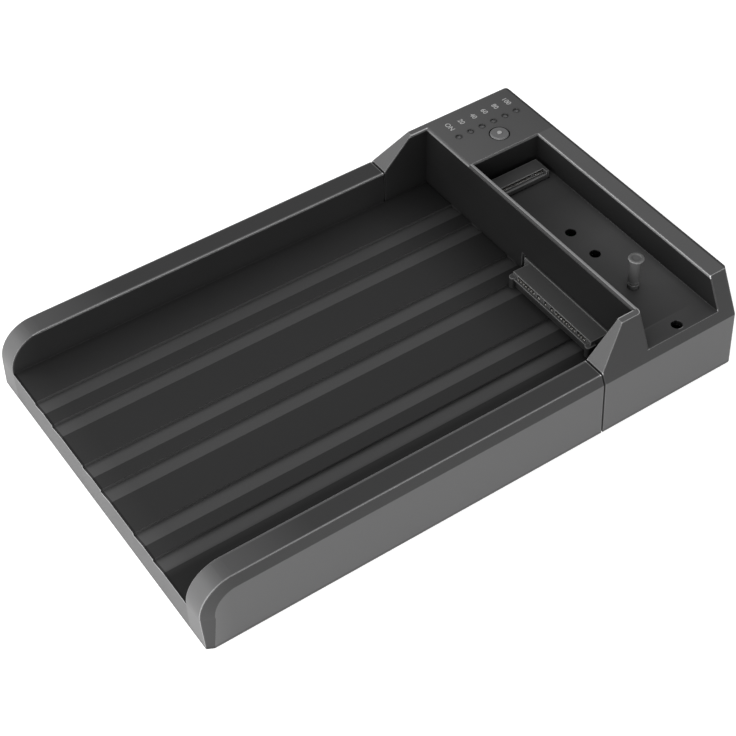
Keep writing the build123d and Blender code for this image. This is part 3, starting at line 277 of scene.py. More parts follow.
# edge_share lightens the edges as a painted highlight; corner darkens inner corners as painted shade.
plain_look = {
    "grain": grain_per_metre, "patch": patches_per_metre, "vary": 0.12,
    "edge": edge_radius, "edge_share": 1.5, "corner": 0.6,
    "rough_spread": 0.06, "bump": 0.25, "depth": 0.02 * mm, "metal": 0.0, "sheen": 0.5,
}


def place_group(tree, group, coordinates):
    """An instance of a shader group, fed with Object coordinates."""
    node = tree.nodes.new("ShaderNodeGroup")
    node.node_tree = group
    tree.links.new(coordinates, node.inputs["Vector"])
    return node


def mix_colour(tree, factor, first, second, blend="MIX"):
    """A blend of two colours; a colour may be a socket or a list."""
    node = tree.nodes.new("ShaderNodeMix")
    node.data_type = "RGBA"
    node.blend_type = blend
    wire(tree, factor, node.inputs[factor_place])
    for place, value in ((first_place, first), (second_place, second)):
        opaque = (*value, 1.0) if isinstance(value, list) else value
        wire(tree, opaque, node.inputs[place])
    return node.outputs[result_place]


def multiplied(colour, share):
    """A plain colour with every channel multiplied."""
    return [channel * share for channel in colour]


def inside_mask(tree, coordinates, low, high, feather):
    """The mask of a box; a feather is one length or three."""
    inside = place_group(tree, inside_group, coordinates)
    widths = feather if isinstance(feather, tuple) else (feather,) * 3
    inside.inputs["Low"].default_value = low
    inside.inputs["High"].default_value = high
    inside.inputs["Feathers per metre"].default_value = [1 / width for width in widths]
    return inside.outputs["Inside"]


def scaled(tree, colour, mask, share):
    """The colour, multiplied by a share where the mask is one."""
    change = math_node(tree, "MULTIPLY", mask, share - 1.0)
    amount = math_node(tree, "ADD", change, 1.0)
    return mix_colour(tree, 1.0, colour, amount, "MULTIPLY")


def toned(tree, colour, coordinates, places):
    """The colour, multiplied by a share inside each place: (low, high, feather, share)."""
    for low, high, feather, share in places:
        colour = scaled(tree, colour, inside_mask(tree, coordinates, low, high, feather), share)
    return colour


def spared(tree, edge, coordinates, places):
    """The edge mask, taken away inside each place where an edge gets no painted highlight."""
    for low, high, feather in places:
        inside = inside_mask(tree, coordinates, low, high, feather)
        edge = math_node(tree, "SUBTRACT", edge, inside, clamp=True)
    return edge


def make_finish(name, colour, rough, changes, places=(), unhighlighted=()):
    """A procedural finish from its colour, roughness and look, with its places of painted shade and painted
    light.
    """
    look = {**plain_look, **changes}
    material = bpy.data.materials.new(name)
    material.use_nodes = True
    tree = material.node_tree
    shader = tree.nodes["Principled BSDF"]
    coordinates = tree.nodes.new("ShaderNodeTexCoord").outputs["Object"]
    grain = place_group(tree, grain_group, coordinates)
    edges = place_group(tree, edge_group, coordinates)
    grain.inputs["Grain per metre"].default_value = look["grain"]
    grain.inputs["Patch per metre"].default_value = look["patch"]
    edges.inputs["Radius"].default_value = look["edge"]
    edges.inputs["Reach"].default_value = look.get("reach", edge_reach_share * look["edge"])
    dark, pale = multiplied(colour, 1 - look["vary"]), multiplied(colour, 1 + look["vary"])
    tone = mix_colour(tree, grain.outputs["Tone"], dark, pale)
    edge = spared(tree, edges.outputs["Edge"], coordinates, unhighlighted)
    # Painted highlight: the edges' colour is made lighter.
    painted_highlight = mix_colour(tree, edge, tone, multiplied(colour, look["edge_share"]))
    # Painted shade: the inner corners' colour is made darker.
    shade = math_node(tree, "MULTIPLY", edges.outputs["Corner"], look["corner"], clamp=True)
    shaded = mix_colour(tree, shade, painted_highlight, black)
    # Painted shade on the leaning band.
    if "band" in look:
        leaning = place_group(tree, leaning_group, coordinates)
        shaded = scaled(tree, shaded, leaning.outputs["Leaning"], look["band"])
    # Painted shade and painted light inside each place.
    tree.links.new(toned(tree, shaded, coordinates, places), shader.inputs["Base Color"])
    spread = look["rough_spread"]
    swing = math_node(tree, "MULTIPLY", grain.outputs["Tone"], 2 * spread)
    tree.links.new(math_node(tree, "ADD", swing, rough - spread, clamp=True), shader.inputs["Roughness"])
    bump = tree.nodes.new("ShaderNodeBump")
    bump.inputs["Strength"].default_value = look["bump"]
    bump.inputs["Distance"].default_value = look["depth"]
    tree.links.new(grain.outputs["Height"], bump.inputs["Height"])
    tree.links.new(edges.outputs["Normal"], bump.inputs["Normal"])
    tree.links.new(bump.outputs["Normal"], shader.inputs["Normal"])
    shader.inputs["Metallic"].default_value = look["metal"]
    shader.inputs["Specular IOR Level"].default_value = look["sheen"]
    return material


# %% [markdown]
# The case is a dark grey plastic with a fine, even grain. The walls of the drive well and of the card bay,
# the flat lands of the well's floor and the holes in the bay get painted shade, so those faces are nearly
# black. The slopes between the lands get less of it and are paler, and the whole floor gets some painted
# light.
# Each such place is a box with a soft border, read from Object coordinates, and a share
# that multiplies the case's colour.

# %% Places of painted shade and painted light on the case
skin = 0.25 * mm
border = 0.05 * mm
edge_strip = 0.45 * mm
head_edge_strip = 0.9 * mm
deep = 120.0 * mm
land_z = 11.8 * mm
bay_right = 58.8 * mm
hole_depth = 3.0 * mm
well_share = 0.19
ramp_share = 0.57
bay_wall_share = 0.13
floor_share = 1.2
hole_share = 0.08
well_left = -well_half - skin
well_right = well_half + skin
well_back = well_end_y + skin
tray_edge = wall_top - edge_strip
head_edge = panel_top - head_edge_strip
bay_skin = bay_floor_z + skin
bay_left = bay_left_x - skin
bay_front = bay_front_y - skin
bay_back = bay_back_y + skin
hole_low = bay_floor_z - hole_depth
hole_high = bay_floor_z - skin
# Painted shade on the well's walls and lands, the bay's walls and its holes; painted light on the well's
# floor.
toned_places = [
    ((well_left, -deep, land_z - border), (well_right, well_back, tray_edge), border, well_share),
    ((well_left, -deep, -deep), (well_right, well_back, land_z), border, ramp_share),
    ((well_left, seam_y, tray_edge - border), (well_right, well_back, head_edge), border, well_share),
    ((bay_left, bay_front, bay_skin - border), (bay_right, bay_back, head_edge), border, bay_wall_share),
    ((bay_left, bay_front, hole_low), (bay_right, bay_back, hole_high), border, hole_share),
    ((well_left, -deep, -deep), (well_right, well_end_y - border, land_z + skin), border, floor_share),
]

# %% [markdown]
# The same boxes with a wide border make a slow change. The wall tops get painted shade, which clears round
# the nose. The floor gets painted shade towards the far end and the right wall, and so do the bay's floor
# at both its ends, the panel left of the bay towards the back, and the foot of the body. The front gets
# painted light and is paler than the rest.

# %% Slow painted shade and painted light along the walls, the floor and the foot
top_share = 0.38
band_share = 0.38
top_inner, top_outer = 52.45 * mm, 58.8 * mm
nose_length = 4.0 * mm
top_border = 0.2 * mm
nose_fade = 34.0 * mm
foot_share = 0.5
foot_height = 1.9 * mm
foot_fade = 0.7 * mm
end_share = 0.45
end_start = 33.0 * mm
end_fade = 25.0 * mm
wall_shade_share = 0.36
wall_shade_start = 38.4 * mm
wall_shade_fade = 3.5 * mm
# Painted light on the front, fading over its depth.
front_share = 1.3
painted_light_depth = 9.0 * mm
bay_end_share = 0.52
bay_left_length = 42.0 * mm
bay_right_length = 24.0 * mm
bay_end_fade = 22.0 * mm
panel_share = 0.75
panel_fade_start = 60.0 * mm
panel_fade = 32.0 * mm
top_feather = (top_border, nose_fade, top_border)
for side in (-1, 1):
    near, far = sorted((side * top_inner, side * top_outer))
    top_low = (near, front_y + nose_length, tray_edge)
    top_high = (far, seam_y + nose_fade, wall_top + skin)
    toned_places.append((top_low, top_high, top_feather, top_share))
end_low = (well_left, end_start, -deep)
end_high = (well_right, well_back + end_fade, head_edge)
toned_places.append((end_low, end_high, (border, end_fade, border), end_share))
shade_low = (wall_shade_start, front_y + border, -deep)
shade_high = (well_right + wall_shade_fade, well_back, land_z + border)
toned_places.append((shade_low, shade_high, (wall_shade_fade, border, border), wall_shade_share))
front_high = (deep, front_y + painted_light_depth, deep)
toned_places.append(((-deep, -deep, -deep), front_high, (border, painted_light_depth, border), front_share))
bay_end_feather = (bay_end_fade, border, border)
bay_left_high = (bay_left + bay_left_length, bay_back, bay_skin)
bay_right_low = (bay_right - bay_right_length, bay_front, hole_high)
toned_places.append(((-deep, bay_front, hole_high), bay_left_high, bay_end_feather, bay_end_share))
toned_places.append((bay_right_low, (deep, bay_back, bay_skin), bay_end_feather, bay_end_share))
panel_low = (-deep, panel_fade_start, head_edge)
panel_high = (bay_left_x, back_y + panel_fade, panel_top + skin)
toned_places.append((panel_low, panel_high, (border, panel_fade, border), panel_share))
toned_places.append(((-deep, -deep, -deep), (deep, deep, foot_height), foot_fade, foot_share))
print("places so far", len(toned_places))

# %% [markdown]
# A few long edges get a stronger painted highlight than the rest, and so does the partition's narrow top.
# They are slim boxes with a share above one. The lip in front of the partition's top, the rear edge of the
# head and the front end of the floor get painted shade.

# %% Long edges with a painted highlight, and strips with painted shade
line_share = 1.7
nose_line_z = 10.0 * mm
line_half = 0.22 * mm
strip_share = 2.5
lip_share = 0.35
lip_strip = 0.5 * mm
seam_share = 0.15
seam_half = 0.3 * mm
rear_share = 0.45
rear_strip = 0.8 * mm
rim = 1.0 * mm
floor_end_share = 0.4
floor_end_strip = 0.8 * mm
outer_edge_x = 58.95 * mm
inner_edge_x = 52.07 * mm
above_tray = wall_top + skin
above_head = panel_top + skin
# Painted highlight along these edges.
bright_lines = [
    ((outer_edge_x - line_half, front_y, nose_line_z), (outer_edge_x + line_half, seam_y, above_tray)),
    ((-inner_edge_x - line_half, front_y, tray_edge), (-inner_edge_x + line_half, seam_y, above_tray)),
    ((well_left, well_end_y - line_half, head_edge), (bay_left, well_end_y + line_half, above_head)),
    ((bay_left, bay_back_y - line_half, head_edge), (bay_right, bay_back_y + line_half, above_head)),
]
toned_places += [(low, high, border, line_share) for low, high in bright_lines]
strip_low = (bay_left, well_end_y + lip_strip, head_edge)
strip_high = (well_right, bay_front_y, above_head)
lip_low = (bay_left, well_end_y - skin, head_edge)
lip_high = (well_right, well_end_y + lip_strip, above_head)
rear_low = (-deep, back_y - rear_strip, head_edge)
floor_end_low = (well_left, front_y + border, land_z - rim)
floor_end_high = (well_right, front_y + floor_end_strip, land_z + skin)
# Painted highlight on the partition's top, and painted shade on the lip in front of it.
toned_places.append((strip_low, strip_high, border, strip_share))
toned_places.append((lip_low, lip_high, border, lip_share))
for side in (-1, 1):
    near, far = sorted((side * well_right, side * deep))
    seam_low = (near, seam_y - seam_half, -deep)
    seam_high = (far, seam_y + seam_half, above_tray)
    toned_places.append((seam_low, seam_high, border, seam_share))
# Painted shade on the head's rear edge and on the floor's front end.
toned_places.append((rear_low, (deep, deep, above_head), border, rear_share))
toned_places.append((floor_end_low, floor_end_high, border, floor_end_share))
print("toned places", len(toned_places))

# %% [markdown]
# Other edges get no painted highlight, and stay as dark as the faces beside them: the rims of the lamp
# windows and of the button, the floor's steps, the seam and the receptacle's window.
# The same kind of box takes the edge mask away there.

# %% Rims that get no painted highlight
button_low, button_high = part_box("copy_button")
wide_rim = 2.0 * mm
seam_width = 0.6 * mm
lamps_rim_low = (lamps_low[0] - wide_rim, lamps_low[1] - rim, head_edge)
lamps_rim_high = (lamps_high[0] + rim, lamps_high[1] + rim, deep)
button_rim_low = (button_low[0] - rim, button_low[1] - rim, head_edge)
button_rim_high = (button_high[0] + rim, button_high[1] + rim, deep)
window_low, window_high = (Vector(corner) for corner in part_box("sata_receptacle"))
window_rim = Vector((rim, rim, rim))
unhighlighted_boxes = [
    (window_low - window_rim, window_high + window_rim),
    ((-deep, seam_y - seam_width, -deep), (deep, seam_y + seam_width, wall_top - skin)),
    ((bay_left, bay_front, bay_floor_z - rim), (bay_right - rim, bay_back, bay_floor_z + rim)),
    (lamps_rim_low, lamps_rim_high),
    (button_rim_low, button_rim_high),
    ((well_left, front_y + border, -deep), (well_right, well_back, land_z + rim)),
    (rear_low, (deep, deep, above_head)),
    (lip_low, strip_high),
]
unhighlighted_places = [(low, high, border) for low, high in unhighlighted_boxes]
print("untouched places", len(unhighlighted_places))

# %% [markdown]
# The connectors share one plastic, and so one finish. The receptacle's front below its slot lies in deep
# shade, which is painted into its colour, and the card socket is made a little paler. The plug's flat top
# gets painted light, and is paler than its glossy side.

# %% Places of the two connectors and of the plug
socket_low, socket_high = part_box("card_socket")
plug_low, plug_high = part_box("card_plug")
slot_front_y = 54.0 * mm
slot_under_z = 15.6 * mm
slot_share = 0.2
socket_share = 1.7
# Painted shade below the receptacle's slot; the card socket is made paler.
connector_places = [
    ((-deep, -deep, -deep), (deep, slot_front_y, slot_under_z), border, slot_share),
    (socket_low, socket_high, border, socket_share),
]
# Painted light on the plug's flat top.
plug_top_share = 1.15
plug_top_low = (plug_low[0], plug_low[1], plug_high[2] - rim)
plug_places = [(plug_top_low, (plug_high[0], plug_high[1], deep), border, plug_top_share)]

# %% [markdown]
# Every material slot gets one finish. The table reads as a list of the materials: base
# colour, roughness, what differs from the plain look, and any special places.

# %% Looks that differ from the plain one
# Each edge_share sets how light the painted highlight on the edges is; the case's is strong, and its
# leaning band gets painted shade.
case_look = {
    "sheen": 0.25, "edge_share": 5.4, "vary": 0.05, "band": band_share,
}
connector_look = {"edge_share": 3.0, "edge": 0.15 * mm}
plug_look = {"edge": 0.3 * mm, "reach": 0.5 * mm, "edge_share": 2.5}
coarse_look = {"depth": 0.05 * mm}
metal_look = {"metal": 1.0}
plate_look = {"metal": 1.0, "edge": 0.05 * mm}
drawn_look = {"metal": 1.0, "grain": 900.0}

# %% Finishes for every material slot
finish_table = {
    "case_plastic": ([0.08, 0.0798, 0.0805], 0.45, case_look, toned_places, unhighlighted_places),
    "base_plastic": ([0.045, 0.045, 0.046], 0.5, {"edge_share": 1.6}),
    "foot_rubber": ([0.022, 0.022, 0.022], 0.8, coarse_look),
    "black_screw_steel": ([0.06, 0.06, 0.065], 0.35, metal_look),
    "bright_screw_steel": ([0.58, 0.57, 0.55], 0.3, metal_look),
    "board_laminate": ([0.012, 0.085, 0.035], 0.25, {"vary": 0.25, "patch": 500.0}),
    "spacer_brass": ([0.68, 0.46, 0.17], 0.3, metal_look),
    "connector_plastic": ([0.042, 0.042, 0.042], 0.42, connector_look, connector_places),
    "contact_plate": ([0.86, 0.83, 0.76], 0.4, plate_look),
    "plug_rubber": ([0.064, 0.064, 0.064], 0.3, plug_look, plug_places),
    "button_plastic": ([0.11, 0.11, 0.112], 0.4, {"edge_share": 1.8}),
    "switch_plastic": ([0.02, 0.02, 0.02], 0.45, {}),
    "lamp_plastic": ([0.8, 0.78, 0.6], 0.3, {}),
    "shell_steel": ([0.62, 0.61, 0.6], 0.25, drawn_look),
    "rocker_plastic": ([0.02, 0.02, 0.02], 0.3, {"edge_share": 2.0}),
    "tinned_metal": ([0.65, 0.64, 0.62], 0.4, metal_look),
    "chip_resin": ([0.02, 0.02, 0.021], 0.5, {}),
    "coil_ferrite": ([0.08, 0.08, 0.085], 0.6, coarse_look),
    "can_aluminium": ([0.7, 0.7, 0.71], 0.35, metal_look),
    "ceramic": ([0.45, 0.32, 0.2], 0.4, {}),
}
finishes = {name: make_finish(name, *values) for name, values in finish_table.items()}
print("finishes", len(finishes))

# %% [markdown]
# The light pipe is clear plastic. Glass-like pieces keep a plain transmission value, and
# a trace of milkiness stops them from looking empty.

# %% Clear plastic
haze_dark = [0.2, 0.2, 0.205]
haze_pale = [0.3, 0.3, 0.305]
clear_rough = 0.2
clear_index = 1.49
clear_share = 0.5


def make_clear_plastic():
    """Slightly milky clear plastic for the light pipe."""
    material = bpy.data.materials.new("clear_plastic")
    material.use_nodes = True
    tree = material.node_tree
    shader = tree.nodes["Principled BSDF"]
    coordinates = tree.nodes.new("ShaderNodeTexCoord").outputs["Object"]
    grain = place_group(tree, grain_group, coordinates)
    haze = mix_colour(tree, grain.outputs["Tone"], haze_dark, haze_pale)
    tree.links.new(haze, shader.inputs["Base Color"])
    shader.inputs["Roughness"].default_value = clear_rough
    shader.inputs["IOR"].default_value = clear_index
    shader.inputs["Transmission Weight"].default_value = clear_share
    return material


finishes["clear_plastic"] = make_clear_plastic()

# %% [markdown]
# The record names a material slot for every CAD node, so one loop gives all of them their
# finish. The finish is linked to the object, and the frame's own mesh stays untouched.

# %% Give every CAD node its finish
for part in frame["record"]["subparts"]:
    node = nodes[part["node"]]
    for slot in node.material_slots:
        slot.link = "OBJECT"
        slot.material = finishes[part["material_slot"]]

# %% [markdown]
# The panel has a small printed figure behind each lamp window, as a dial has numbers:
# how far a copy has come. Blender's own text makes them, each turned into a thin mesh
# before it gets its place, because a piece's place belongs in its mesh.

# %% Printed figures behind the lamps
figure_height = 1.75 * mm
figure_thickness = 0.02 * mm
figure_bold = 0.03 * mm
figure_x = -47.9 * mm
capital_share = 0.7
figure_places = {"ON": 65.8, "20": 70.5, "40": 75.4, "60": 79.8, "80": 84.2, "100": 88.9}
print_colour = [0.26, 0.26, 0.26]
print_rough = 0.6
print_look = {"vary": 0.1, "depth": 0.004 * mm, "edge": 0.05 * mm}
print_finish = make_finish("panel_print", print_colour, print_rough, print_look)


def piece_from_mesh(name, mesh, finish, body=case_body):
    """An object at the origin that rides on the case, or on another body."""
    piece = bpy.data.objects.new(name, mesh)
    bpy.context.scene.collection.objects.link(piece)
    mesh.materials.clear()
    mesh.materials.append(finish)
    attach(piece, body)
    return piece


def make_figure(words, place):
    """Flat printed words, centred on a place of the panel."""
    curve = bpy.data.curves.new("words", "FONT")
    curve.body = words
    curve.size = figure_height / capital_share
    curve.offset = figure_bold
    curve.align_x = "CENTER"
    curve.align_y = "CENTER"
    curve.extrude = figure_thickness / 2
    holder = bpy.data.objects.new("words", curve)
    bpy.context.scene.collection.objects.link(holder)
    bpy.context.view_layer.update()
    ready = holder.evaluated_get(bpy.context.evaluated_depsgraph_get())
    mesh = bpy.data.meshes.new_from_object(ready)
    bpy.data.objects.remove(holder)
    mesh.transform(Matrix.Translation(place))
    return mesh


for words, y in figure_places.items():
    place = (figure_x, y * mm, panel_top + figure_thickness / 2)
    piece_from_mesh("figure_" + words.lower(), make_figure(words, place), print_finish)
print("figures", len(figure_places))

# %% [markdown]
# Each lamp window sits in a recess whose rim lies in shade, and a thin dark ring round it is painted shade.
# The ring repeats along a line, so Geometry Nodes make the row: a circle is swept with a small round
# profile, and a line of points carries it.

# %% Helpers that start a tree, repeat a piece along a row, and end the tree
def start_tree(name, sockets):
    """A new Geometry Nodes tree with its sockets; returns the tree and its two end nodes."""
    tree = bpy.data.node_groups.new(name, "GeometryNodeTree")
    tree.interface.new_socket("Geometry", in_out="OUTPUT", socket_type="NodeSocketGeometry")
    for label, kind in sockets:
        tree.interface.new_socket(label, in_out="INPUT", socket_type=kind)
    return tree, tree.nodes.new("NodeGroupInput"), tree.nodes.new("NodeGroupOutput")


def make_row(tree, start, axis, first):
    """A line of points along an axis, one pitch apart, from a first place."""
    step = tree.nodes.new("ShaderNodeCombineXYZ")
    tree.links.new(start.outputs["Pitch"], step.inputs[axis])
    row = tree.nodes.new("GeometryNodeMeshLine")
    row.mode = "OFFSET"
    tree.links.new(start.outputs["Count"], row.inputs["Count"])
    tree.links.new(first, row.inputs["Start Location"])
    tree.links.new(step.outputs["Vector"], row.inputs["Offset"])
    return row.outputs["Mesh"]


def repeat_on(tree, points, piece):
    """A node that repeats a piece on every point."""
    copies = tree.nodes.new("GeometryNodeInstanceOnPoints")
    tree.links.new(points, copies.inputs["Points"])
    tree.links.new(piece, copies.inputs["Instance"])
    return copies


def end_tree(tree, start, end, copies):
    """Makes the copies real, gives them their finish and puts them out."""
    real = tree.nodes.new("GeometryNodeRealizeInstances")
    paint = tree.nodes.new("GeometryNodeSetMaterial")
    tree.links.new(copies.outputs["Instances"], real.inputs["Geometry"])
    tree.links.new(real.outputs["Geometry"], paint.inputs["Geometry"])
    tree.links.new(start.outputs["Finish"], paint.inputs["Material"])
    tree.links.new(paint.outputs["Geometry"], end.inputs["Geometry"])


def run_tree(tree, name, values):
    """Runs a Geometry Nodes tree once and returns its result as a plain mesh."""
    entries = [item for item in tree.interface.items_tree if item.in_out == "INPUT"]
    identifiers = {item.name: item.identifier for item in entries}
    holder = bpy.data.objects.new(name + "_holder", bpy.data.meshes.new(name + "_holder"))
    bpy.context.scene.collection.objects.link(holder)
    modifier = holder.modifiers.new("tree", "NODES")
    modifier.node_group = tree
    for label, value in values.items():
        modifier[identifiers[label]] = value
    ready = holder.evaluated_get(bpy.context.evaluated_depsgraph_get())
    mesh = bpy.data.meshes.new_from_object(ready)
    bpy.data.objects.remove(holder)
    return mesh


# %% Tree for a row of painted shade rings
ring_corners = 40
profile_corners = 10


def make_shade_ring_tree():
    """Geometry Nodes: a row of rings along Y."""
    tree, start, end = start_tree("row_of_shade_rings", [
        ("Count", "NodeSocketInt"), ("Pitch", "NodeSocketFloat"), ("Ring Radius", "NodeSocketFloat"),
        ("Wire Radius", "NodeSocketFloat"), ("First", "NodeSocketVector"), ("Finish", "NodeSocketMaterial"),
    ])
    row = make_row(tree, start, "Y", start.outputs["First"])
    ring = tree.nodes.new("GeometryNodeCurvePrimitiveCircle")
    profile = tree.nodes.new("GeometryNodeCurvePrimitiveCircle")
    ring.inputs["Resolution"].default_value = ring_corners
    profile.inputs["Resolution"].default_value = profile_corners
    tree.links.new(start.outputs["Ring Radius"], ring.inputs["Radius"])
    tree.links.new(start.outputs["Wire Radius"], profile.inputs["Radius"])
    sweep = tree.nodes.new("GeometryNodeCurveToMesh")
    tree.links.new(ring.outputs["Curve"], sweep.inputs["Curve"])
    tree.links.new(profile.outputs["Curve"], sweep.inputs["Profile Curve"])
    end_tree(tree, start, end, repeat_on(tree, row, sweep.outputs["Mesh"]))
    return tree


# %% Painted shade rings round the lamp windows
lamp_count = 6
shade_ring_radius = 1.02 * mm
shade_ring_wire = 0.16 * mm
# A dark colour that paints the shade in each window's rim.
shade_ring_colour = [0.012, 0.012, 0.012]
shade_ring_rough = 0.5
shade_ring_look = {"edge": 0.05 * mm, "corner": 0.2}
shade_ring_tree = make_shade_ring_tree()
shade_ring_finish = make_finish("painted_shade_ring", shade_ring_colour, shade_ring_rough, shade_ring_look)
lamp_pitch = 4.66 * mm
first_lamp_y = 65.3 * mm
first_lamp = ((lamps_low[0] + lamps_high[0]) / 2, first_lamp_y, panel_top)
shade_rings = run_tree(shade_ring_tree, "lamp_collars", {
    "Count": lamp_count, "Pitch": lamp_pitch, "Ring Radius": shade_ring_radius,
    "Wire Radius": shade_ring_wire, "First": first_lamp, "Finish": shade_ring_finish,
})
piece_from_mesh("lamp_collars", shade_rings, shade_ring_finish)
print("collar faces", len(shade_rings.polygons), "first lamp", [round(value / mm, 2) for value in first_lamp])

# %% [markdown]
# The button has a pale dot in the middle of its top. It is a thin disc that rides on the button, so it goes
# down with it.

# %% A pale dot on the button's top
dot_radius = 0.78 * mm
dot_corners = 32
dot_colour = [0.22, 0.22, 0.22]
dot_rough = 0.5
dot_look = {"vary": 0.08, "edge": 0.05 * mm}
dot_finish = make_finish("pale_dot", dot_colour, dot_rough, dot_look)
button_middle = [(low + high) / 2 for low, high in zip(button_low, button_high)]
dot_mesh = bpy.data.meshes.new("button_dot")
dot_shape = bmesh.new()
dot_place = Matrix.Translation((button_middle[0], button_middle[1], button_high[2] + figure_thickness / 2))
dot_sizes = {"radius1": dot_radius, "radius2": dot_radius, "depth": figure_thickness}
bmesh.ops.create_cone(dot_shape, cap_ends=True, segments=dot_corners, matrix=dot_place, **dot_sizes)
dot_shape.to_mesh(dot_mesh)
dot_shape.free()
piece_from_mesh("button_dot", dot_mesh, dot_finish, body="copy_button")
print("button top at", round(button_high[2] / mm, 2), "mm")

# %% [markdown]
# The chips on the main board stand on rows of thin bent legs. A leg repeats dozens of times, so Geometry
# Nodes make the rows: one leg is built from listed points, a line of points carries it along one side, and
# the row is turned about the chip's middle for each side.

# %% One bent leg
leg_width = 0.25 * mm
leg_skin = 0.12 * mm
knee_share = 0.35
heel_share = 0.65


def leg_mesh(rise, reach):
    """A gull-wing leg: out from the chip, down, and flat on the board."""
    flat = leg_skin / 2
    line = [(0, rise), (knee_share * reach, rise), (heel_share * reach, flat), (reach, flat)]
    corners = []
    for out, height in line:
        for side, lift in ((-1, -1), (1, -1), (1, 1), (-1, 1)):
            corners.append((side * leg_width / 2, -out, height + lift * flat))
    faces = [(3, 2, 1, 0), (12, 13, 14, 15)]
    for step in range(len(line) - 1):
        first = 4 * step
        for corner in range(4):
            after = (corner + 1) % 4
            faces.append((first + corner, first + after, first + 4 + after, first + 4 + corner))
    mesh = bpy.data.meshes.new("leg")
    mesh.from_pydata(corners, [], faces)
    mesh.update()
    return mesh


# %% The tree that sets rows of legs round a middle
def make_rows_tree():
    """Geometry Nodes: a row of pieces on each side of a middle."""
    tree, start, end = start_tree("rows_round_a_middle", [
        ("Piece", "NodeSocketObject"), ("Count", "NodeSocketInt"), ("Pitch", "NodeSocketFloat"),
        ("Half Width", "NodeSocketFloat"), ("Sides", "NodeSocketInt"), ("Middle", "NodeSocketVector"),
        ("Finish", "NodeSocketMaterial"),
    ])
    spans = math_node(tree, "SUBTRACT", start.outputs["Count"], 1.0)
    length = math_node(tree, "MULTIPLY", spans, start.outputs["Pitch"])
    first = tree.nodes.new("ShaderNodeCombineXYZ")
    tree.links.new(math_node(tree, "MULTIPLY", length, -0.5), first.inputs["X"])
    tree.links.new(math_node(tree, "MULTIPLY", start.outputs["Half Width"], -1.0), first.inputs["Y"])
    row = make_row(tree, start, "X", first.outputs["Vector"])
    piece = tree.nodes.new("GeometryNodeObjectInfo")
    tree.links.new(start.outputs["Piece"], piece.inputs["Object"])
    one_side = repeat_on(tree, row, piece.outputs["Geometry"])
    middles = tree.nodes.new("GeometryNodePoints")
    tree.links.new(start.outputs["Sides"], middles.inputs["Count"])
    tree.links.new(start.outputs["Middle"], middles.inputs["Position"])
    share = math_node(tree, "DIVIDE", 2 * math.pi, start.outputs["Sides"])
    index = tree.nodes.new("GeometryNodeInputIndex")
    turn = tree.nodes.new("ShaderNodeCombineXYZ")
    tree.links.new(math_node(tree, "MULTIPLY", share, index.outputs["Index"]), turn.inputs["Z"])
    all_sides = repeat_on(tree, middles.outputs["Points"], one_side.outputs["Instances"])
    tree.links.new(turn.outputs["Vector"], all_sides.inputs["Rotation"])
    end_tree(tree, start, end, all_sides)
    return tree


rows_tree = make_rows_tree()

# %% Legs round each chip
leg_reach = 1.0 * mm
row_share = 0.86
chips = {"bridge_chip": (16, 4), "card_bridge_chip": (12, 4), "memory_chip": (4, 2)}
for chip, (legs, sides) in chips.items():
    low, high = (Vector(corner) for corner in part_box(chip))
    middle = (low + high) / 2
    leg = bpy.data.objects.new("leg", leg_mesh(middle.z - low.z, leg_reach))
    half_width = (high.y - low.y) / 2
    pitch = row_share * (high.x - low.x) / legs
    rows = run_tree(rows_tree, chip + "_legs", {
        "Piece": leg, "Count": legs, "Pitch": pitch, "Half Width": half_width, "Sides": sides,
        "Middle": (middle.x, middle.y, low.z), "Finish": finishes["tinned_metal"],
    })
    piece_from_mesh(chip + "_legs", rows, finishes["tinned_metal"])
    bpy.data.objects.remove(leg)
    print(chip, "leg faces", len(rows.polygons), "legs", legs * sides, "pitch", round(pitch / mm, 3), "mm")

# %% [markdown]
# The studio is a white table and an even white room, as for a catalogue picture.
# The table is white to the camera and in reflections, and still takes the object's
# soft shadow. Long soft lights make the slopes that face them brighter.

# %% Table and room
scene = bpy.context.scene
scene.view_settings.view_transform = "Standard"
white = (1, 1, 1, 1)
table_half = 3.0
table_glow = 0.62
table_colour = (0.8, 0.8, 0.8, 1)
table_rough = 0.9
floor_mesh = bpy.data.meshes.new("table")
corners = [(x * table_half, y * table_half, 0) for x, y in ((-1, -1), (1, -1), (1, 1), (-1, 1))]
floor_mesh.from_pydata(corners, [], [(0, 1, 2, 3)])
table = bpy.data.objects.new("table", floor_mesh)
scene.collection.objects.link(table)


def make_table_finish():
    """White to the camera and in gloss, and otherwise a pale matt surface with shadow."""
    material = bpy.data.materials.new("white_table")
    material.use_nodes = True
    tree = material.node_tree
    shader = tree.nodes["Principled BSDF"]
    paths = tree.nodes.new("ShaderNodeLightPath")
    seen = math_node(tree, "MAXIMUM", paths.outputs["Is Camera Ray"], paths.outputs["Is Glossy Ray"])
    seen = math_node(tree, "MAXIMUM", seen, paths.outputs["Is Transmission Ray"])
    tree.links.new(math_node(tree, "MULTIPLY", seen, table_glow), shader.inputs["Emission Strength"])
    shader.inputs["Emission Color"].default_value = white
    shader.inputs["Base Color"].default_value = table_colour
    shader.inputs["Roughness"].default_value = table_rough
    shader.inputs["Specular IOR Level"].default_value = 0.0
    return material


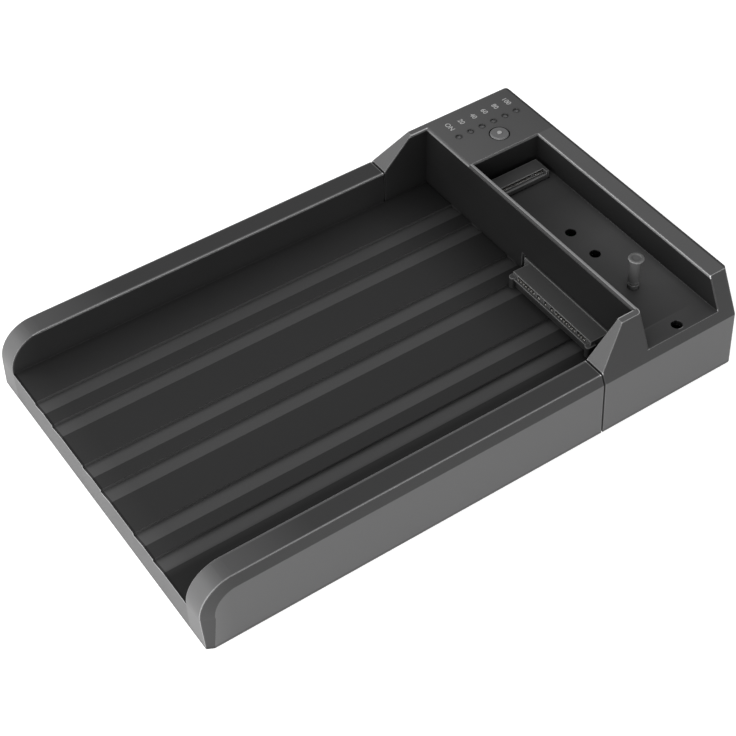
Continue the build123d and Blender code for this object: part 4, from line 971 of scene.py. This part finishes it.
floor_mesh.materials.append(make_table_finish())
room_level = 0.5
world = bpy.data.worlds.new("white_room")
scene.world = world
world.use_nodes = True
world_tree = world.node_tree
room = world_tree.nodes["Background"]
room_paths = world_tree.nodes.new("ShaderNodeLightPath")
room_seen = math_node(world_tree, "MULTIPLY", room_paths.outputs["Is Camera Ray"], 1.0 - room_level)
world_tree.links.new(math_node(world_tree, "ADD", room_seen, room_level), room.inputs["Strength"])
room.inputs["Color"].default_value = white
print("room level", room_level)


# %% Soft lights
def add_soft_light(name, place, size, power):
    """A rectangular soft light that looks at the middle of the object."""
    lamp = bpy.data.lights.new(name, "AREA")
    lamp.shape = "RECTANGLE"
    lamp.size, lamp.size_y = size
    lamp.energy = power
    light = bpy.data.objects.new(name, lamp)
    scene.collection.objects.link(light)
    light.location = place
    light.rotation_euler = (-Vector(place)).to_track_quat("-Z", "Y").to_euler()
    return light


soft_lights = {
    "front_light": ((0.45, -1.12, 0.45), (2.0, 0.8), 24.5),
    "front_left_light": ((-0.7, -0.86, 0.45), (0.5, 0.5), 3.2),
    "right_light": ((1.2, -0.1, 0.35), (1.2, 0.5), 4.2),
    "top_light": ((-0.1, 0.2, 1.3), (1.2, 1.2), 1.5),
}
for name, (place, size, power) in soft_lights.items():
    add_soft_light(name, place, size, power)
print("soft lights", len(soft_lights))

# %% [markdown]
# The camera is placed by its direction round the object, which is easier to think about
# than three coordinates: a high three-quarter view from the front right corner.

# %% Camera
azimuth = math.radians(57.133)
elevation = math.radians(46.351)
roll = math.radians(-1.888)
distance = 523.458 * mm
aim_place = (11.308, -7.032, 15.8)
sensor_width = 36.0
focal_length = 86.07
nearest_seen = 0.01
aim = Vector([value * mm for value in aim_place])
level = math.cos(elevation)
back = Vector((math.sin(azimuth) * level, -math.cos(azimuth) * level, math.sin(elevation)))
right = (-back).cross(Vector((0, 0, 1))).normalized()
up = right.cross(-back)
right_rolled = math.cos(roll) * right + math.sin(roll) * up
up_rolled = -math.sin(roll) * right + math.cos(roll) * up
camera_data = bpy.data.cameras.new("camera")
camera_data.sensor_width = sensor_width
camera_data.lens = focal_length
camera_data.clip_start = nearest_seen
camera = bpy.data.objects.new("camera", camera_data)
turn = Matrix((right_rolled, up_rolled, back)).transposed().to_4x4()
camera.matrix_world = Matrix.Translation(aim + back * distance) @ turn
scene.collection.objects.link(camera)
scene.camera = camera
print("camera at", [round(value, 3) for value in camera.matrix_world.translation])
